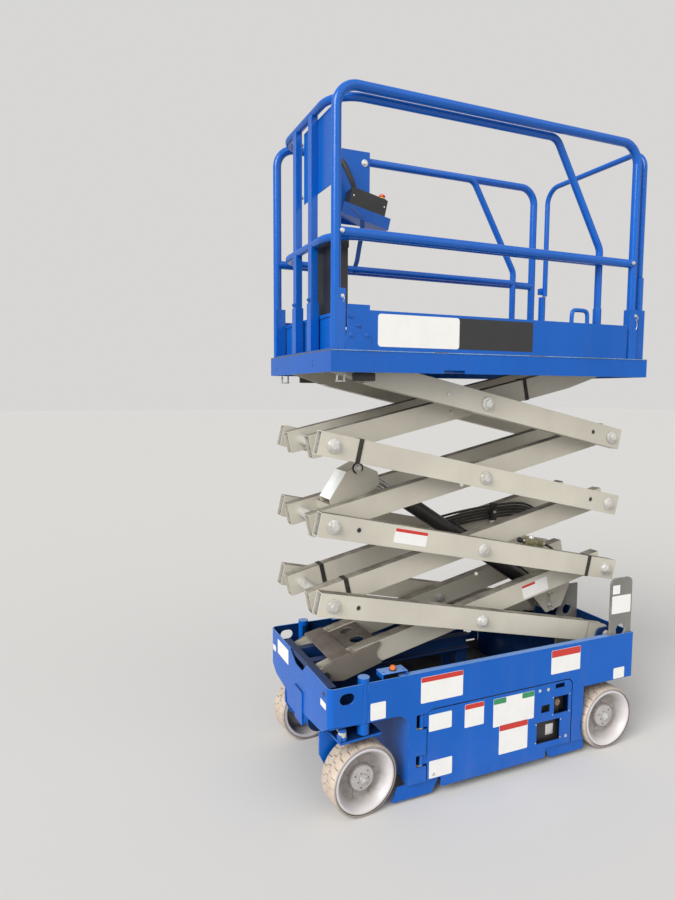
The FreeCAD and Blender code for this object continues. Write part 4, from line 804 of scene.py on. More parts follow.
def side_film(bm, side, face, x_range, z_range, thick, corner, material=0):
    """Thin plate on a side face of the machine."""
    y0, y1 = sorted((side * face, side * (face + thick)))
    slab(bm, Matrix.Identity(4), (x_range[0], y0, z_range[0]), (x_range[1], y1, z_range[1]), 1, corner, material)


def arm_film(bm, matrix, side, face, plate, band, thick):
    """Thin plate with a red band on an arm; plate and band are (rear, front, low, high) along the arm."""
    y0, y1 = sorted((side * face, side * (face + thick)))
    slab(bm, matrix, (plate[0], y0, plate[2]), (plate[1], y1, plate[3]), 1, 0.004)
    slab(bm, matrix, (band[0], y0 + side * thick, band[2]), (band[1], y1 + side * 0.0003, band[3]), 1, 0.003, 1)


class LIFT_OT_plates(bpy.types.Operator):
    """Fix blank plates on the chassis, doors, arms and platform"""
    bl_idname = "lift.plates"
    bl_label = "Blank plates"

    def execute(self, context):
        thick = context.scene.lift_sizes.plate_thickness
        wall, corner_band, inset = WALL_FACE + FILM_GAP, 0.070, 0.001
        for side, word in SIDES:
            boards = {"chassis": bmesh.new(), "door": bmesh.new()}
            for body, rear, front, low, high, band, share in SIDE_PLATES:
                bm = boards[body]
                side_film(bm, side, wall, (rear, front), (low, high), thick, 0.005)
                if band:
                    split = high - (high - low) * share
                    spans = [(rear, front)] if band == 1 else [(rear, rear + corner_band), (front - corner_band, front)]
                    for start, finish in spans:
                        side_film(bm, side, wall + thick, (start + inset, finish - inset), (split, high - inset),
                                  0.0002, 0.004, band)
            settle(boards["chassis"], "wall_plates_" + word, "chassis", PLATE_FINISHES, 30.0)
            settle(boards["door"], "door_plates_" + word, "door_" + word, PLATE_FINISHES, 30.0)
            bm = bmesh.new()
            toeboard = TOEBOARD_FACE + FILM_GAP
            side_film(bm, side, toeboard, (0.247, 0.620), (1.915, 2.041), thick, 0.013)
            side_film(bm, side, toeboard, (-0.130, 0.2465), (1.915, 2.041), thick, 0.003, 3)
            settle(bm, "toeboard_plates_" + word, "platform", PLATE_FINISHES, 30.0)
        bm = bmesh.new()
        for (y0, y1), (z0, z1), corner, material in FRONT_PLATES:
            slab(bm, Matrix.Identity(4), (FRONT_FACE, y0, z0), (FRONT_FACE + thick, y1, z1), 0, corner, material)
        settle(bm, "front_plates", "chassis", PLATE_FINISHES, 30.0)
        for name, level, outer, face, plate, band in (
                ("arm_plates_2", 2, True, OUTER_ARM_FACE, (0.307, 0.470, -0.026, 0.037), (0.308, 0.469, 0.022, 0.036)),
                ("arm_plates_1", 1, False, INNER_ARM_FACE, (-0.474, -0.318, -0.040, 0.028),
                 (-0.400, -0.319, 0.014, 0.027))):
            bm = bmesh.new()
            for side in (-1, 1):
                arm_film(bm, arm_frame(level, outer), side, face + FILM_GAP, plate, band, thick)
            settle(bm, name, ("outer_%d" if outer else "inner_%d") % level, PLATE_FINISHES, 30.0)
        bm = bmesh.new()
        for side in (-1, 1):
            side_film(bm, side, UPRIGHT_FACE + FILM_GAP, (-0.717, -0.671), (0.767, 0.811), thick, 0.003)
            side_film(bm, side, UPRIGHT_FACE + FILM_GAP, (-0.790, -0.668), (0.669, 0.758), thick, 0.004)
        settle(bm, "upright_plates", "chassis", PLATE_FINISHES, 30.0)
        return {"FINISHED"}


# Open arm ends that a liner closes: -1 rear, 1 front
LINER_ENDS = {("outer", 1): (1,), ("outer", 2): (-1, 1), ("outer", 3): (-1, 1), ("outer", 4): (-1,),
              ("inner", 1): (-1,), ("inner", 2): (-1, 1), ("inner", 3): (-1, 1), ("inner", 4): (1,)}

# Cable ties: arm, level, side, distance along the arm
CABLE_TIES = (("outer", 3, 1, 0.6395), ("outer", 2, 1, -0.641), ("inner", 2, 1, 0.643), ("inner", 2, -1, 0.650),
              ("outer", 3, -1, 0.560), ("inner", 4, 1, -0.30))


class LIFT_OT_arm_details(bpy.types.Operator):
    """Add the creased liners, cable ties, lowering valve, blind holes and fittings of the cylinder mounts"""
    bl_idname = "lift.arm_details"
    bl_label = "Arm details"

    def add_liners(self):
        draw = random.Random(7)
        for (kind, level), ways in LINER_ENDS.items():
            outer = kind == "outer"
            bm = bmesh.new()
            for side in (-1, 1):
                for way in ways:
                    made = bmesh.ops.create_grid(bm, x_segments=7, y_segments=12, size=0.5)["verts"]
                    bmesh.ops.rotate(bm, cent=(0, 0, 0), matrix=Matrix.Rotation(math.pi / 2, 3, "Y"), verts=made)
                    for vert in made:
                        vert.co.y *= 0.0436
                        vert.co.z *= 0.0896
                        vert.co.x = draw.uniform(-0.004, 0.004)
                    shift = Vector((way * (half_arm + 0.050), side * (OUTER_ARM_Y if outer else INNER_ARM_Y), 0.0))
                    bmesh.ops.translate(bm, vec=shift, verts=made)
                    bmesh.ops.transform(bm, matrix=arm_frame(level, outer), verts=made)
            settle(bm, "liners_%s_%d" % (kind, level), "%s_%d" % (kind, level), ["liner"], 25.0)

    def add_ties(self):
        wide, tall, grow, half = 0.0262, 0.0492, 0.0022, 0.0105
        for kind, level, side, along in CABLE_TIES:
            outer = kind == "outer"
            bm = bmesh.new()
            matrix = arm_frame(level, outer)
            shift = Vector((along, side * (OUTER_ARM_Y if outer else INNER_ARM_Y), 0.0))
            for low, high in (((-half, -wide - grow, tall), (half, wide + grow, tall + grow)),
                              ((-half, -wide - grow, -tall - grow), (half, wide + grow, -tall)),
                              ((-half, wide, -tall), (half, wide + grow, tall)),
                              ((-half, -wide - grow, -tall), (half, -wide, tall))):
                block(bm, Vector(low) + shift, Vector(high) + shift, 0.0008, 1, 0, matrix)
            block(bm, Vector((-0.0060, side * wide - 0.002, 0.010)) + shift,
                  Vector((0.0060, side * wide + 0.0050, 0.024)) + shift, 0.0010, 2, 0, matrix)
            word = "left" if side > 0 else "right"
            settle(bm, "tie_%s_%d_%s_%d" % (kind, level, word, round(abs(along) * 1000)), "%s_%d" % (kind, level),
                   ["black rubber"], 30.0)

    def add_valve(self):
        bm = bmesh.new()
        place = arm_frame(2, True)
        front, up = place.to_3x3() @ X, place.to_3x3() @ Z
        middle, height = 0.185, 0.064
        for low, high, edge in (((-0.390, 0.168, 0.0470), (-0.288, 0.202, 0.0800), 0.003),
                                ((-0.372, 0.165, 0.0578), (-0.340, 0.205, 0.0738), 0.002),
                                ((-0.352, 0.196, 0.0240), (-0.336, 0.2085, 0.0560), 0.001)):
            block(bm, low, high, edge, 2, 0, place)
        hex_head(bm, place @ Vector((-0.324, middle, 0.0793)), up, 0.022, 0.014, 1)
        for x, way, radius, length, segments, edge, material in (
                (-0.286, front, 0.0065, 0.018, 20, 0.0006, 1), (-0.268, front, 0.0130, 0.020, 24, 0.003, 2),
                (-0.390, -front, 0.0085, 0.018, 6, 0.0, 1)):
            drum(bm, place @ Vector((x, middle, height)), way, radius, length, segments, edge, material=material)
        settle(bm, "lowering_valve", "outer_2", ["valve olive", "zinc", "black satin"], 35.0)
        route = [place @ Vector(point) for point in (
            (-0.404, 0.185, 0.064), (-0.440, 0.185, 0.058), (-0.480, 0.184, 0.040), (-0.520, 0.184, 0.010),
            (-0.550, 0.184, -0.030))]
        hose("valve_hose", "outer_2", "black rubber", route, 0.0058)

    def add_blind_holes(self):
        for level, along in ((1, 0.640), (2, 0.640), (3, -0.640), (4, -0.640)):
            bm = bmesh.new()
            for side in (-1, 1):
                seat = arm_point(level, True, along, side * (OUTER_ARM_FACE + FILM_GAP), 0.002)
                # grey rim ring round a black disc; the black disc is painted shade inside the hole
                ring(bm, seat, Y * side, [(0.0, 0.0090), (0.0, 0.0122), (0.0006, 0.0118), (0.0006, 0.0095)], 32, 1)
                drum(bm, seat, Y * side, 0.0100, 0.0003, 28)
            settle(bm, "blind_holes_%d" % level, "outer_%d" % level, ["black satin", "arm grey"], 30.0)

    def add_mount_web(self):
        """Bright skin on the front web of the upper cylinder mount, with the bolt beside it."""
        web = nodes["cylinder_mount_high"].data
        bm = bmesh.new()
        facing = Vector((0.83, 0.0, 0.56)).normalized()
        rearmost = 0.60
        for polygon in web.polygons:
            corners = [web.vertices[index].co for index in polygon.vertices]
            middle = sum(corners, Vector()) / len(corners)
            if polygon.normal.dot(facing) > 0.98 and middle.x > rearmost:
                bm.faces.new([bm.verts.new(corner + polygon.normal * 0.0004) for corner in corners])
        if not bm.faces:
            raise RuntimeError("The front web of the upper cylinder mount wasn't found")
        bmesh.ops.remove_doubles(bm, verts=bm.verts[:], dist=0.0001)
        bmesh.ops.solidify(bm, geom=bm.faces[:], thickness=-0.0006)
        bmesh.ops.recalc_face_normals(bm, faces=bm.faces[:])
        seat = Vector((0.5561, 0.0600, 1.4042))
        drum(bm, seat, Y, 0.0270, 0.0020, 36, 0.0008, material=1)
        bolt(bm, seat + Y * 0.0020, Y, 0.0190, 0.0030, 0.024, 0.0110, 32, 0.0008, 2, 2)
        settle(bm, "mount_web", "inner_3", ["bracket white", "black rubber", "zinc"], 30.0)

    def add_keeper(self):
        """Bolted keeper plate of the lower cylinder pin, with its ring."""
        bm = bmesh.new()
        keeper = Vector((-0.5550, 0.0562, 0.6885))
        block(bm, keeper + Vector((-0.012, 0.0, -0.066)), keeper + Vector((0.012, 0.004, 0.014)), 0.0015)
        for drop in (0.0, -0.052):
            bolt(bm, keeper + Vector((0.0, 0.004, drop)), Y, 0.0100, 0.0016, 0.014, 0.0070, 24, 0.0004)
        ring(bm, keeper + Vector((-0.012, 0.010, -0.066)), Vector((0.6, 0.5, 0.6)),
             [(-0.0028, 0.0110), (0.0, 0.0085), (0.0028, 0.0110), (0.0, 0.0135)], 32)
        settle(bm, "cylinder_keeper", "inner_1", ["zinc"], 32.0)

    def execute(self, context):
        self.add_liners()
        self.add_ties()
        self.add_valve()
        self.add_blind_holes()
        self.add_mount_web()
        self.add_keeper()
        return {"FINISHED"}

class LIFT_OT_hoses(bpy.types.Operator):
    """Run the hydraulic hoses, with the bundle's clamp and the cylinder's fittings"""
    bl_idname = "lift.hoses"
    bl_label = "Hoses"

    def add_bundle(self, radius):
        across = -0.079
        strands = ((0.0, 0.0), (0.016, 0.002), (0.032, -0.002), (0.047, 0.001), (0.062, 0.0))
        for index, (drop, inward) in enumerate(strands):
            route = [Vector((x, across + inward, z - drop)) for x, z in (
                (0.030, 1.122), (-0.040, 1.134), (-0.150, 1.148), (-0.286, 1.158), (-0.420, 1.164),
                (-0.520, 1.150), (-0.580, 1.105))]
            hose("bundle_hose_%d" % index, "outer_2", "black rubber", route, radius)
        bm = bmesh.new()
        matrix = Matrix.Translation((-0.286, across, 1.126)) @ Matrix.Rotation(math.radians(-3.0), 4, "Y")
        block(bm, (-0.020, -0.010, -0.045), (0.020, 0.010, 0.045), 0.003, 2, 0, matrix)
        hex_head(bm, matrix @ Vector((0.0, 0.010, 0.0)), Y, 0.013, 0.007, 1)
        block(bm, (-0.298, across - 0.0115, 1.020), (-0.274, across - 0.0060, 1.120), 0.001, 2, 1)
        settle(bm, "hose_clamp", "outer_2", ["black satin", "zinc"], 35.0)

    def add_stack_hoses(self, radius):
        place = arm_frame(3, False)
        for index in range(3):
            y = -0.100 + 0.0005 * index
            route = [place @ Vector((along, y + 0.002 * math.sin(along * 9), -0.022 - 0.0135 * index))
                     for along in (-0.66, -0.4, -0.1, 0.2, 0.45, 0.60)]
            hose("stack_hose_%d" % index, "inner_3", "black rubber", route, radius)

    def add_cylinder_fittings(self, radius):
        foot = joint_at["cylinder_foot"]
        rod = next(joint for joint in frame["joints"] if joint["name"] == "cylinder_rod")
        along = Vector(rod["axis"]).normalized()
        above = along.cross(Y).normalized()
        if above.z < 0:
            above = -above
        bm = bmesh.new()
        seat = foot + along * 0.110 + above * 0.034
        block(bm, (-0.020, -0.018, -0.004), (0.020, 0.018, 0.020), 0.003, 2, 0,
              Matrix.Translation(seat) @ Matrix((along, Y, above)).transposed().to_4x4())
        hex_head(bm, seat + above * 0.019, above, 0.020, 0.012, 1)
        drum(bm, seat + along * 0.020 + above * 0.008, along, 0.0085, 0.018, 6, material=1)
        for distance in (0.0602, 1.0296):
            ring(bm, foot + along * distance, along,
                 [(0.0, 0.0350), (0.0, 0.0385), (0.003, 0.0395), (0.006, 0.0385), (0.006, 0.0350)], 48, 1)
        settle(bm, "cylinder_fittings", "lift_barrel", ["black satin", "zinc"], 35.0)
        route = [seat + along * forward + above * height for forward, height in (
            (0.036, 0.008), (0.080, 0.012), (0.200, 0.010), (0.420, 0.0095), (0.640, 0.0095))]
        hose("cylinder_hose", "lift_barrel", "black rubber", route, radius)

    def execute(self, context):
        radius = context.scene.lift_sizes.hose_radius
        self.add_bundle(radius)
        self.add_stack_hoses(radius * 0.9)
        self.add_cylinder_fittings(radius * 0.9)
        return {"FINISHED"}


class LIFT_OT_controls(bpy.types.Operator):
    """Fit the control box with its knobs, hanger bolts, grip and strap"""
    bl_idname = "lift.controls"
    bl_label = "Controls"

    def add_panel(self):
        low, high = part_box("control_box")
        pivot = Vector((0.400, 0.0, 2.545))
        tilt = Matrix.Rotation(math.radians(-12.5), 4, "Y")
        turn = Matrix.Translation(pivot) @ tilt @ Matrix.Translation(-pivot)
        middle = (high.y + low.y) / 2
        top = pivot.z + 0.1343
        bm = bmesh.new()
        block(bm, (0.311, low.y + 0.004, top - 0.001), (0.489, high.y - 0.004, top + 0.006), 0.002, 2, 0, turn)
        block(bm, (0.322, low.y + 0.010, top + 0.0055), (0.478, high.y - 0.010, top + 0.0075), 0.0008, 2, 3, turn)
        for x in (0.355, 0.385, 0.415, 0.445):
            block(bm, (x - 0.005, middle - 0.024, top + 0.0072), (x + 0.005, middle - 0.014, top + 0.0130), 0.001, 2,
                  4, turn)
        knob = turn @ Vector((0.324, middle, top + 0.0070))
        up = turn.to_3x3() @ Z
        collar = 0.0125
        ring(bm, knob, up, [(0.0, 0.004), (0.0, 0.0165), (0.0030, 0.0165), (0.0040, 0.0140), (0.0120, 0.0135),
                            (collar, 0.004)], 32, 2)
        ring(bm, knob + up * collar, up, [(0.0, 0.003), (0.0, 0.0100), (0.0030, 0.0150), (0.0090, 0.0155),
                                          (0.0125, 0.0140), (0.0140, 0.0100), (0.0142, 0.003)], 32, 1)
        drum(bm, knob + up * 0.0262, up, 0.0060, 0.0012, 20, 0.0004, material=4)
        for z in (0.030, 0.100):
            for x in (0.318, 0.482):
                drum(bm, turn @ Vector((x, high.y, pivot.z + z)), Y, 0.0042, 0.0022, 16, 0.0005, material=5)
        settle(bm, "control_panel", "extension",
               ["black satin", "knob red", "knob yellow", "blank plate", "black rubber", "zinc"], 32.0)

    def add_hanger(self):
        face = -0.2887
        bm = bmesh.new()
        for x, z, size in ((0.366, 2.844, 0.020), (0.505, 2.845, 0.013), (0.366, 2.600, 0.011)):
            bolt(bm, (x, face, z), Y, size * 0.85, 0.0016, size, 0.008, 24)
        settle(bm, "hanger_bolts", "extension", ["zinc"], 30.0)
        grip = [(0.494, face + 0.008, 2.835), (0.494, -0.262, 2.826), (0.488, -0.243, 2.800), (0.470, -0.232, 2.752),
                (0.452, -0.228, 2.712), (0.446, -0.236, 2.690)]
        hose("control_grip", "extension", "black rubber", [Vector(p) for p in grip], 0.0120)

    def add_strap(self):
        bm = bmesh.new()
        path = [(0.503, -0.262, 2.625), (0.488, -0.2045, 2.610), (0.450, -0.2020, 2.585), (0.418, -0.2025, 2.555),
                (0.405, -0.230, 2.500), (0.400, -0.270, 2.440), (0.398, -0.300, 2.380), (0.398, -0.3255, 2.345),
                (0.398, -0.3190, 2.3230), (0.398, -0.2920, 2.3240)]
        half_width = Vector((0.012, 0.0, 0.0))
        rows = [[bm.verts.new(Vector(point) - half_width), bm.verts.new(Vector(point) + half_width)]
                for point in path]
        for first, second in zip(rows, rows[1:]):
            bm.faces.new((first[0], first[1], second[1], second[0]))
        bmesh.ops.recalc_face_normals(bm, faces=bm.faces[:])
        bmesh.ops.subdivide_edges(bm, edges=bm.edges[:], cuts=2, smooth=0.6, use_grid_fill=True)
        bmesh.ops.solidify(bm, geom=bm.faces[:], thickness=0.0015)
        settle(bm, "control_strap", "extension", ["strap blue"], 40.0)

    def execute(self, context):
        self.add_panel()
        self.add_hanger()
        self.add_strap()
        return {"FINISHED"}


# Parts behind the door's lower window, given for the left door: low corner, high corner, edge, material
SOCKET_BLOCKS = (((-0.350, 0.344, 0.122), (-0.262, 0.356, 0.205), 0.003, 3),
                 ((-0.333, 0.3555, 0.136), (-0.288, 0.3585, 0.188), 0.002, 2),
                 ((-0.405, 0.337, 0.236), (-0.317, 0.341, 0.330), 0.001, 3),
                 ((-0.297, 0.346, 0.258), (-0.240, 0.354, 0.298), 0.001, 3))


class LIFT_OT_chassis_details(bpy.types.Operator):
    """Add the flashing lamp, the door bolts and sockets, the yoke wings and the rear bolts and plate"""
    bl_idname = "lift.chassis_details"
    bl_label = "Chassis details"

    def add_lamp(self):
        bm = bmesh.new()
        y0, y1, shelf = 0.3115, 0.3710, 0.5892
        block(bm, (0.465, y0, 0.5860), (0.582, y1, shelf), 0.0012)
        for x in (0.465, 0.5785):
            block(bm, (x, y0, 0.5660), (x + 0.0035, y1, 0.5885), 0.0012)
        for x in (0.477, 0.570):
            hex_head(bm, (x, 0.352, shelf), Z, 0.008, 0.004)
        ring(bm, (0.522, 0.345, shelf), Z,
             [(0.0, 0.003), (0.0, 0.0150), (0.0035, 0.0148), (0.0045, 0.0130), (0.0045, 0.003)], 36, 2)
        ring(bm, (0.522, 0.345, 0.5935), Z, [(0.0, 0.002), (0.0, 0.0122), (0.008, 0.0118), (0.0135, 0.0095),
                                            (0.0160, 0.0055), (0.0165, 0.002)], 36, 3)
        settle(bm, "flashing_lamp", "chassis", ["blue chassis", "zinc", "black satin", "lamp"], 32.0)

    def add_door_fittings(self, side, word):
        out = Y * side
        bm = bmesh.new()
        for x, z in ((-0.232, 0.370), (-0.282, 0.368), (0.335, 0.105), (-0.395, 0.120)):
            stud(bm, (x, side * WALL_FACE, z), out, 0.0078, 0.0010, 0.0055, 0.0022, (18, 18))
        for x in (-0.360, -0.216):
            for z in (0.121, 0.210):
                drum(bm, (x, side * WALL_FACE, z), out, 0.0034, 0.0014, 14, 0.0004)
        settle(bm, "door_bolts_" + word, "door_" + word, ["zinc"], 30.0)
        bm = bmesh.new()
        plug_x, plug_z, contact_reach = -0.352, 0.286, 0.008
        drum(bm, (plug_x, side * 0.340, plug_z), out, 0.022, 0.016, 32, 0.003)
        drum(bm, (plug_x, side * 0.3555, plug_z), out, 0.017, 0.006, 32, 0.002, material=1)
        for turn in range(3):
            angle = math.tau * turn / 3 + 0.5
            drum(bm, (plug_x + contact_reach * math.cos(angle), side * 0.3610,
                      plug_z + contact_reach * math.sin(angle)), out, 0.0018, 0.0020, 10, material=2)
        for x in (-0.411, -0.311):
            for z in (0.241, 0.324):
                drum(bm, (x, side * WALL_FACE, z), out, 0.0030, 0.0012, 12, 0.0003, material=2)
        for low, high, edge, material in SOCKET_BLOCKS:
            side_block(bm, side, low, high, edge, 2, material)
        settle(bm, "door_socket_" + word, "door_" + word,
               ["black satin", "plug brown", "zinc", "black rubber"], 32.0)

    def add_yoke_wing(self, side, word):
        turned = Matrix.Translation((0.660, side * 0.354, 0.0)) @ Matrix.Rotation(math.radians(4.5), 4, "Z")
        bm = bmesh.new()
        outline = [(0.055, 0.336), (0.148, 0.336), (0.148, 0.240), (0.118, 0.180), (0.055, 0.150)]
        near, far = [[bm.verts.new(turned @ Vector((x, -side * offset, z))) for x, z in outline]
                     for offset in (0.1060, 0.1140)]
        bm.faces.new(near)
        bm.faces.new(list(reversed(far)))
        for i in range(5):
            j = (i + 1) % 5
            bm.faces.new((near[i], far[i], far[j], near[j]))
        bmesh.ops.recalc_face_normals(bm, faces=bm.faces[:])
        bevel(bm, bm.edges[:], 0.0012)
        drum(bm, turned @ Vector((0.098, 0.0, 0.3462)), Z, 0.0200, 0.0140, 28, 0.0015)
        drum(bm, turned @ Vector((0.098, 0.0, 0.3815)), Z, 0.0160, 0.0080, 28, 0.0015)
        block(bm, (0.112, -0.012, 0.3462), (0.117, 0.020, 0.3700), 0.001, 2, 0, turned)
        settle(bm, "yoke_wing_" + word, "yoke_" + word, ["blue platform"], 35.0)

    def add_rear_bolts(self):
        rear_face = -0.8030
        bm = bmesh.new()
        for side in (-1, 1):
            for z in (0.530, 0.480):
                bolt(bm, (rear_face, side * 0.250, z), -X, 0.0085, 0.0016, 0.014, 0.0060)
        block(bm, (rear_face - 0.0020, -0.160, 0.400), (rear_face, 0.160, 0.520), 0.0006, 2, 1)
        settle(bm, "rear_bolts", "chassis", ["zinc", "blank plate"], 30.0)

    def execute(self, context):
        self.add_lamp()
        for side, word in SIDES:
            self.add_door_fittings(side, word)
        for side, word in SIDES:
            self.add_yoke_wing(side, word)
        self.add_rear_bolts()
        return {"FINISHED"}


# Hoop handle on a toeboard, as (x, z)
HOOP = ((-0.350, 2.0525), (-0.350, 2.090), (-0.358, 2.106), (-0.372, 2.1085), (-0.425, 2.1085), (-0.438, 2.100),
        (-0.441, 2.080), (-0.441, 2.0525))

# Brackets and slide blocks under the platform's front, given for the left side: corners, edge, material
UNDER_BAND = (((0.742, 0.328, 1.779), (0.748, 0.336, 1.818), 0.0012, 2),
              ((0.742, 0.320, 1.779), (0.778, 0.344, 1.783), 0.0012, 2),
              ((0.772, 0.328, 1.779), (0.778, 0.336, 1.812), 0.0012, 2),
              ((0.600, 0.293, 1.782), (0.694, 0.317, 1.8155), 0.004, 3))


class LIFT_OT_platform_details(bpy.types.Operator):
    """Add the hoop handles, sleeve pins, tethers, bolts, band seams, gate latch and document lid"""
    bl_idname = "lift.platform_details"
    bl_label = "Platform details"

    def add_side(self, side, word):
        out = Y * side
        hose("hoop_handle_" + word, "platform", "blue platform",
             [Vector((x, side * 0.3640, z)) for x, z in HOOP], 0.0092)
        bm = bmesh.new()
        for x in (0.770, -0.728):
            seat = Vector((x, side * TOEBOARD_FACE, 2.099))
            stud(bm, seat, out, 0.0075, 0.0015, 0.0040, 0.0060, (20, 16), 0.0003)
            ring(bm, seat + Vector((0.0, side * 0.0045, -0.012)), X,
                 [(-0.0011, 0.0105), (0.0, 0.0094), (0.0011, 0.0105), (0.0, 0.0116)], 28)
        settle(bm, "sleeve_pins_" + word, "platform", ["zinc"], 32.0)
        route = [Vector((x, side * y, z)) for x, y, z in (
            (-0.728, 0.3755, 2.087), (-0.734, 0.3760, 2.070), (-0.738, 0.3758, 2.050), (-0.732, 0.3742, 2.036))]
        hose("tether_" + word, "platform", "zinc", route, 0.0013)
        bm = bmesh.new()
        for x in (-0.700, 0.772):
            bolt(bm, (x, side * 0.3712, 2.339), out, 0.0090, 0.0020, 0.013, 0.0055, 20, 0.0004)
        settle(bm, "rail_bolts_" + word, "platform", ["zinc"], 32.0)

    def add_band_fittings(self):
        bm = bmesh.new()
        for y, z in ((-0.286, 1.846), (0.180, 1.864), (0.180, 1.846)):
            drum(bm, (BAND_FACE, y, z), X, 0.0048, 0.0006, 20, material=1)
            drum(bm, (BAND_FACE + 0.0004, y, z), X, 0.0030, 0.0010, 16, 0.0004)
        for side in (-1, 1):
            for low, high, edge, material in UNDER_BAND:
                side_block(bm, side, low, high, edge, 2, material)
        settle(bm, "band_bolts", "platform", ["blue platform", "black satin", "zinc", "slide block"],
               32.0)
        bm = bmesh.new()
        for side in (-1, 1):
            side_block(bm, side, (0.648, 0.3722, 1.8985), (0.762, 0.3736, 1.9560), 0.0005, 1)
            # seam strips along the band's top edge: painted highlight on their tops, with scuffs
            for rear, front in ((-0.812, -0.20), (-0.12, 0.30), (0.36, 0.812)):
                side_block(bm, side, (rear, 0.3716, 1.8958), (front, 0.3748, 1.8992), 0.0010, 1, 1)
        settle(bm, "band_seam", "platform", ["blue platform", "scuffed blue"], 32.0)

    def add_gate_latch(self):
        bm = bmesh.new()
        block(bm, (-0.808, -0.352, 2.295), (-0.762, -0.322, 2.330), 0.003)
        drum(bm, (-0.785, -0.320, 2.312), Y, 0.006, 0.010, 20, 0.0008, material=1)
        settle(bm, "gate_latch", "gate", ["blue rail", "zinc"], 32.0)

    def add_panel_bolts(self):
        bm = bmesh.new()
        rear_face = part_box("sign_panel")[0].x
        for y in (-0.075, 0.075):
            for z in (2.575, 2.795):
                stud(bm, (rear_face - 0.0002, y, z), -X, 0.0080, 0.0014, 0.0050, 0.0036, (18, 16))
        settle(bm, "panel_bolts", "extension", ["zinc"], 32.0)

    def add_document_lid(self):
        low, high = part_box("document_box")
        rear, right, left, top = low.x - 0.003, low.y - 0.003, high.y + 0.003, high.z
        middle = (low.y + high.y) / 2
        bm = bmesh.new()
        block(bm, (rear, right, top - 0.050), (low.x, left, top + 0.002), 0.001)
        block(bm, (rear, right, top), (high.x, left, top + 0.003), 0.0012)
        block(bm, (low.x - 0.006, middle - 0.018, top - 0.062), (low.x - 0.002, middle + 0.018, top - 0.036), 0.001,
              2, 1)
        settle(bm, "document_lid", "extension", ["black satin", "zinc"], 32.0)

    def execute(self, context):
        for side, word in SIDES:
            self.add_side(side, word)
        self.add_band_fittings()
        self.add_gate_latch()
        self.add_panel_bolts()
        self.add_document_lid()
        return {"FINISHED"}


# Sun lamps: name, direction they shine from, strength, angle in degrees
LAMPS = (("key", (0.80, 0.42, 0.62), 3.3, 38.0), ("fill", (-0.35, 0.90, 0.55), 0.55, 60.0))

# Camera of the photograph: place, turn in degrees, roll in radians, focal length in pixels of a 900 pixel high frame
CAMERA_PLACE = (1.754, 2.608, 1.737)
CAMERA_YAW, CAMERA_PITCH, CAMERA_ROLL = 246.64, 5.14, 0.0044
FOCAL_PIXELS, FRAME_PIXELS, SENSOR = 639.4, 900.0, 36.0


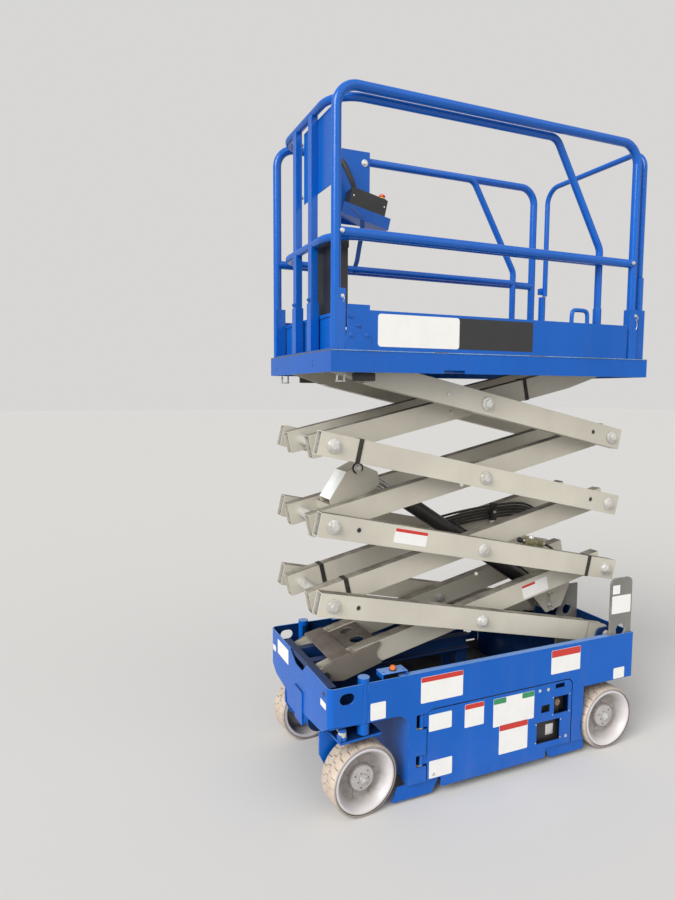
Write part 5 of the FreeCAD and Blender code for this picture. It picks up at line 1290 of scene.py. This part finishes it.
class LIFT_OT_stage(bpy.types.Operator):
    """Set the floor, the lights and the camera"""
    bl_idname = "lift.stage"
    bl_label = "Stage"

    def add_floor(self, scene):
        mesh = bpy.data.meshes.new("floor")
        bm = bmesh.new()
        bmesh.ops.create_grid(bm, x_segments=1, y_segments=1, size=60.0)
        bm.to_mesh(mesh)
        bm.free()
        floor = bpy.data.objects.new("floor", mesh)
        scene.collection.objects.link(floor)
        ground = bpy.data.materials.new("ground")
        ground.use_nodes = True
        inputs = ground.node_tree.nodes["Principled BSDF"].inputs
        inputs["Base Color"].default_value = (0.60, 0.59, 0.575, 1.0)
        inputs["Roughness"].default_value = 0.85
        mesh.materials.append(ground)

    def add_lights(self, scene):
        world = bpy.data.worlds.new("studio")
        scene.world = world
        world.use_nodes = True
        tree = world.node_tree
        back = tree.nodes["Background"]
        back.inputs["Color"].default_value = (0.975, 0.965, 0.955, 1.0)
        seen = tree.nodes.new("ShaderNodeLightPath").outputs["Is Camera Ray"]
        level = tree.nodes.new("ShaderNodeMapRange")
        level.inputs["To Min"].default_value = 0.52
        level.inputs["To Max"].default_value = 0.70
        tree.links.new(seen, level.inputs["Value"])
        tree.links.new(level.outputs["Result"], back.inputs["Strength"])
        for name, source, power, shade_share in LAMPS:
            light = bpy.data.lights.new(name, "SUN")
            light.energy = power
            light.angle = math.radians(shade_share)
            lamp = bpy.data.objects.new(name, light)
            scene.collection.objects.link(lamp)
            lamp.location = Vector(source) * 6.0
            lamp.rotation_euler = (-Vector(source)).to_track_quat("-Z", "Y").to_euler()

    def add_camera(self, scene):
        data = bpy.data.cameras.new("view")
        camera = bpy.data.objects.new("view", data)
        scene.collection.objects.link(camera)
        yaw, pitch, roll = math.radians(CAMERA_YAW), math.radians(CAMERA_PITCH), CAMERA_ROLL
        forward = Vector((math.cos(yaw) * math.cos(pitch), math.sin(yaw) * math.cos(pitch), -math.sin(pitch)))
        right = forward.cross(Z).normalized()
        up = right.cross(forward)
        right_rolled = right * math.cos(roll) + up * math.sin(roll)
        up_rolled = up * math.cos(roll) - right * math.sin(roll)
        turn = Matrix((right_rolled, up_rolled, -forward)).transposed().to_4x4()
        camera.matrix_world = Matrix.Translation(CAMERA_PLACE) @ turn
        data.sensor_width = SENSOR
        data.lens = FOCAL_PIXELS / FRAME_PIXELS * SENSOR
        data.clip_start = 0.05
        data.clip_end = 100.0
        scene.camera = camera

    def execute(self, context):
        context.scene.view_settings.view_transform = "Standard"
        self.add_floor(context.scene)
        self.add_lights(context.scene)
        self.add_camera(context.scene)
        return {"FINISHED"}


class LIFT_PT_panel(bpy.types.Panel):
    """Buttons for every step of the scissor lift"""
    bl_label = "Scissor Lift"
    bl_idname = "LIFT_PT_panel"
    bl_space_type = "VIEW_3D"
    bl_region_type = "UI"
    bl_category = "Scissor Lift"

    def draw(self, context):
        for group in (context.scene.lift_colours, context.scene.lift_sizes):
            for name in group.bl_rna.properties.keys():
                if name not in ("rna_type", "name"):
                    self.layout.prop(group, name)
        for step in STEPS:
            self.layout.operator(step.bl_idname)


STEPS = (LIFT_OT_finishes, LIFT_OT_tyres, LIFT_OT_rims, LIFT_OT_bolts, LIFT_OT_plates, LIFT_OT_arm_details,
         LIFT_OT_hoses, LIFT_OT_controls, LIFT_OT_chassis_details, LIFT_OT_platform_details, LIFT_OT_stage)


def register():
    for kind in (LiftColours, LiftSizes) + STEPS + (LIFT_PT_panel,):
        bpy.utils.register_class(kind)
    bpy.types.Scene.lift_colours = PointerProperty(type=LiftColours)
    bpy.types.Scene.lift_sizes = PointerProperty(type=LiftSizes)


def unregister():
    del bpy.types.Scene.lift_sizes
    del bpy.types.Scene.lift_colours
    for kind in (LIFT_PT_panel,) + STEPS[::-1] + (LiftSizes, LiftColours):
        bpy.utils.unregister_class(kind)


def main():
    register()
    bpy.ops.lift.finishes()
    bpy.ops.lift.tyres()
    bpy.ops.lift.rims()
    bpy.ops.lift.bolts()
    bpy.ops.lift.plates()
    bpy.ops.lift.arm_details()
    bpy.ops.lift.hoses()
    bpy.ops.lift.controls()
    bpy.ops.lift.chassis_details()
    bpy.ops.lift.platform_details()
    bpy.ops.lift.stage()


if __name__ == "__main__":
    main()
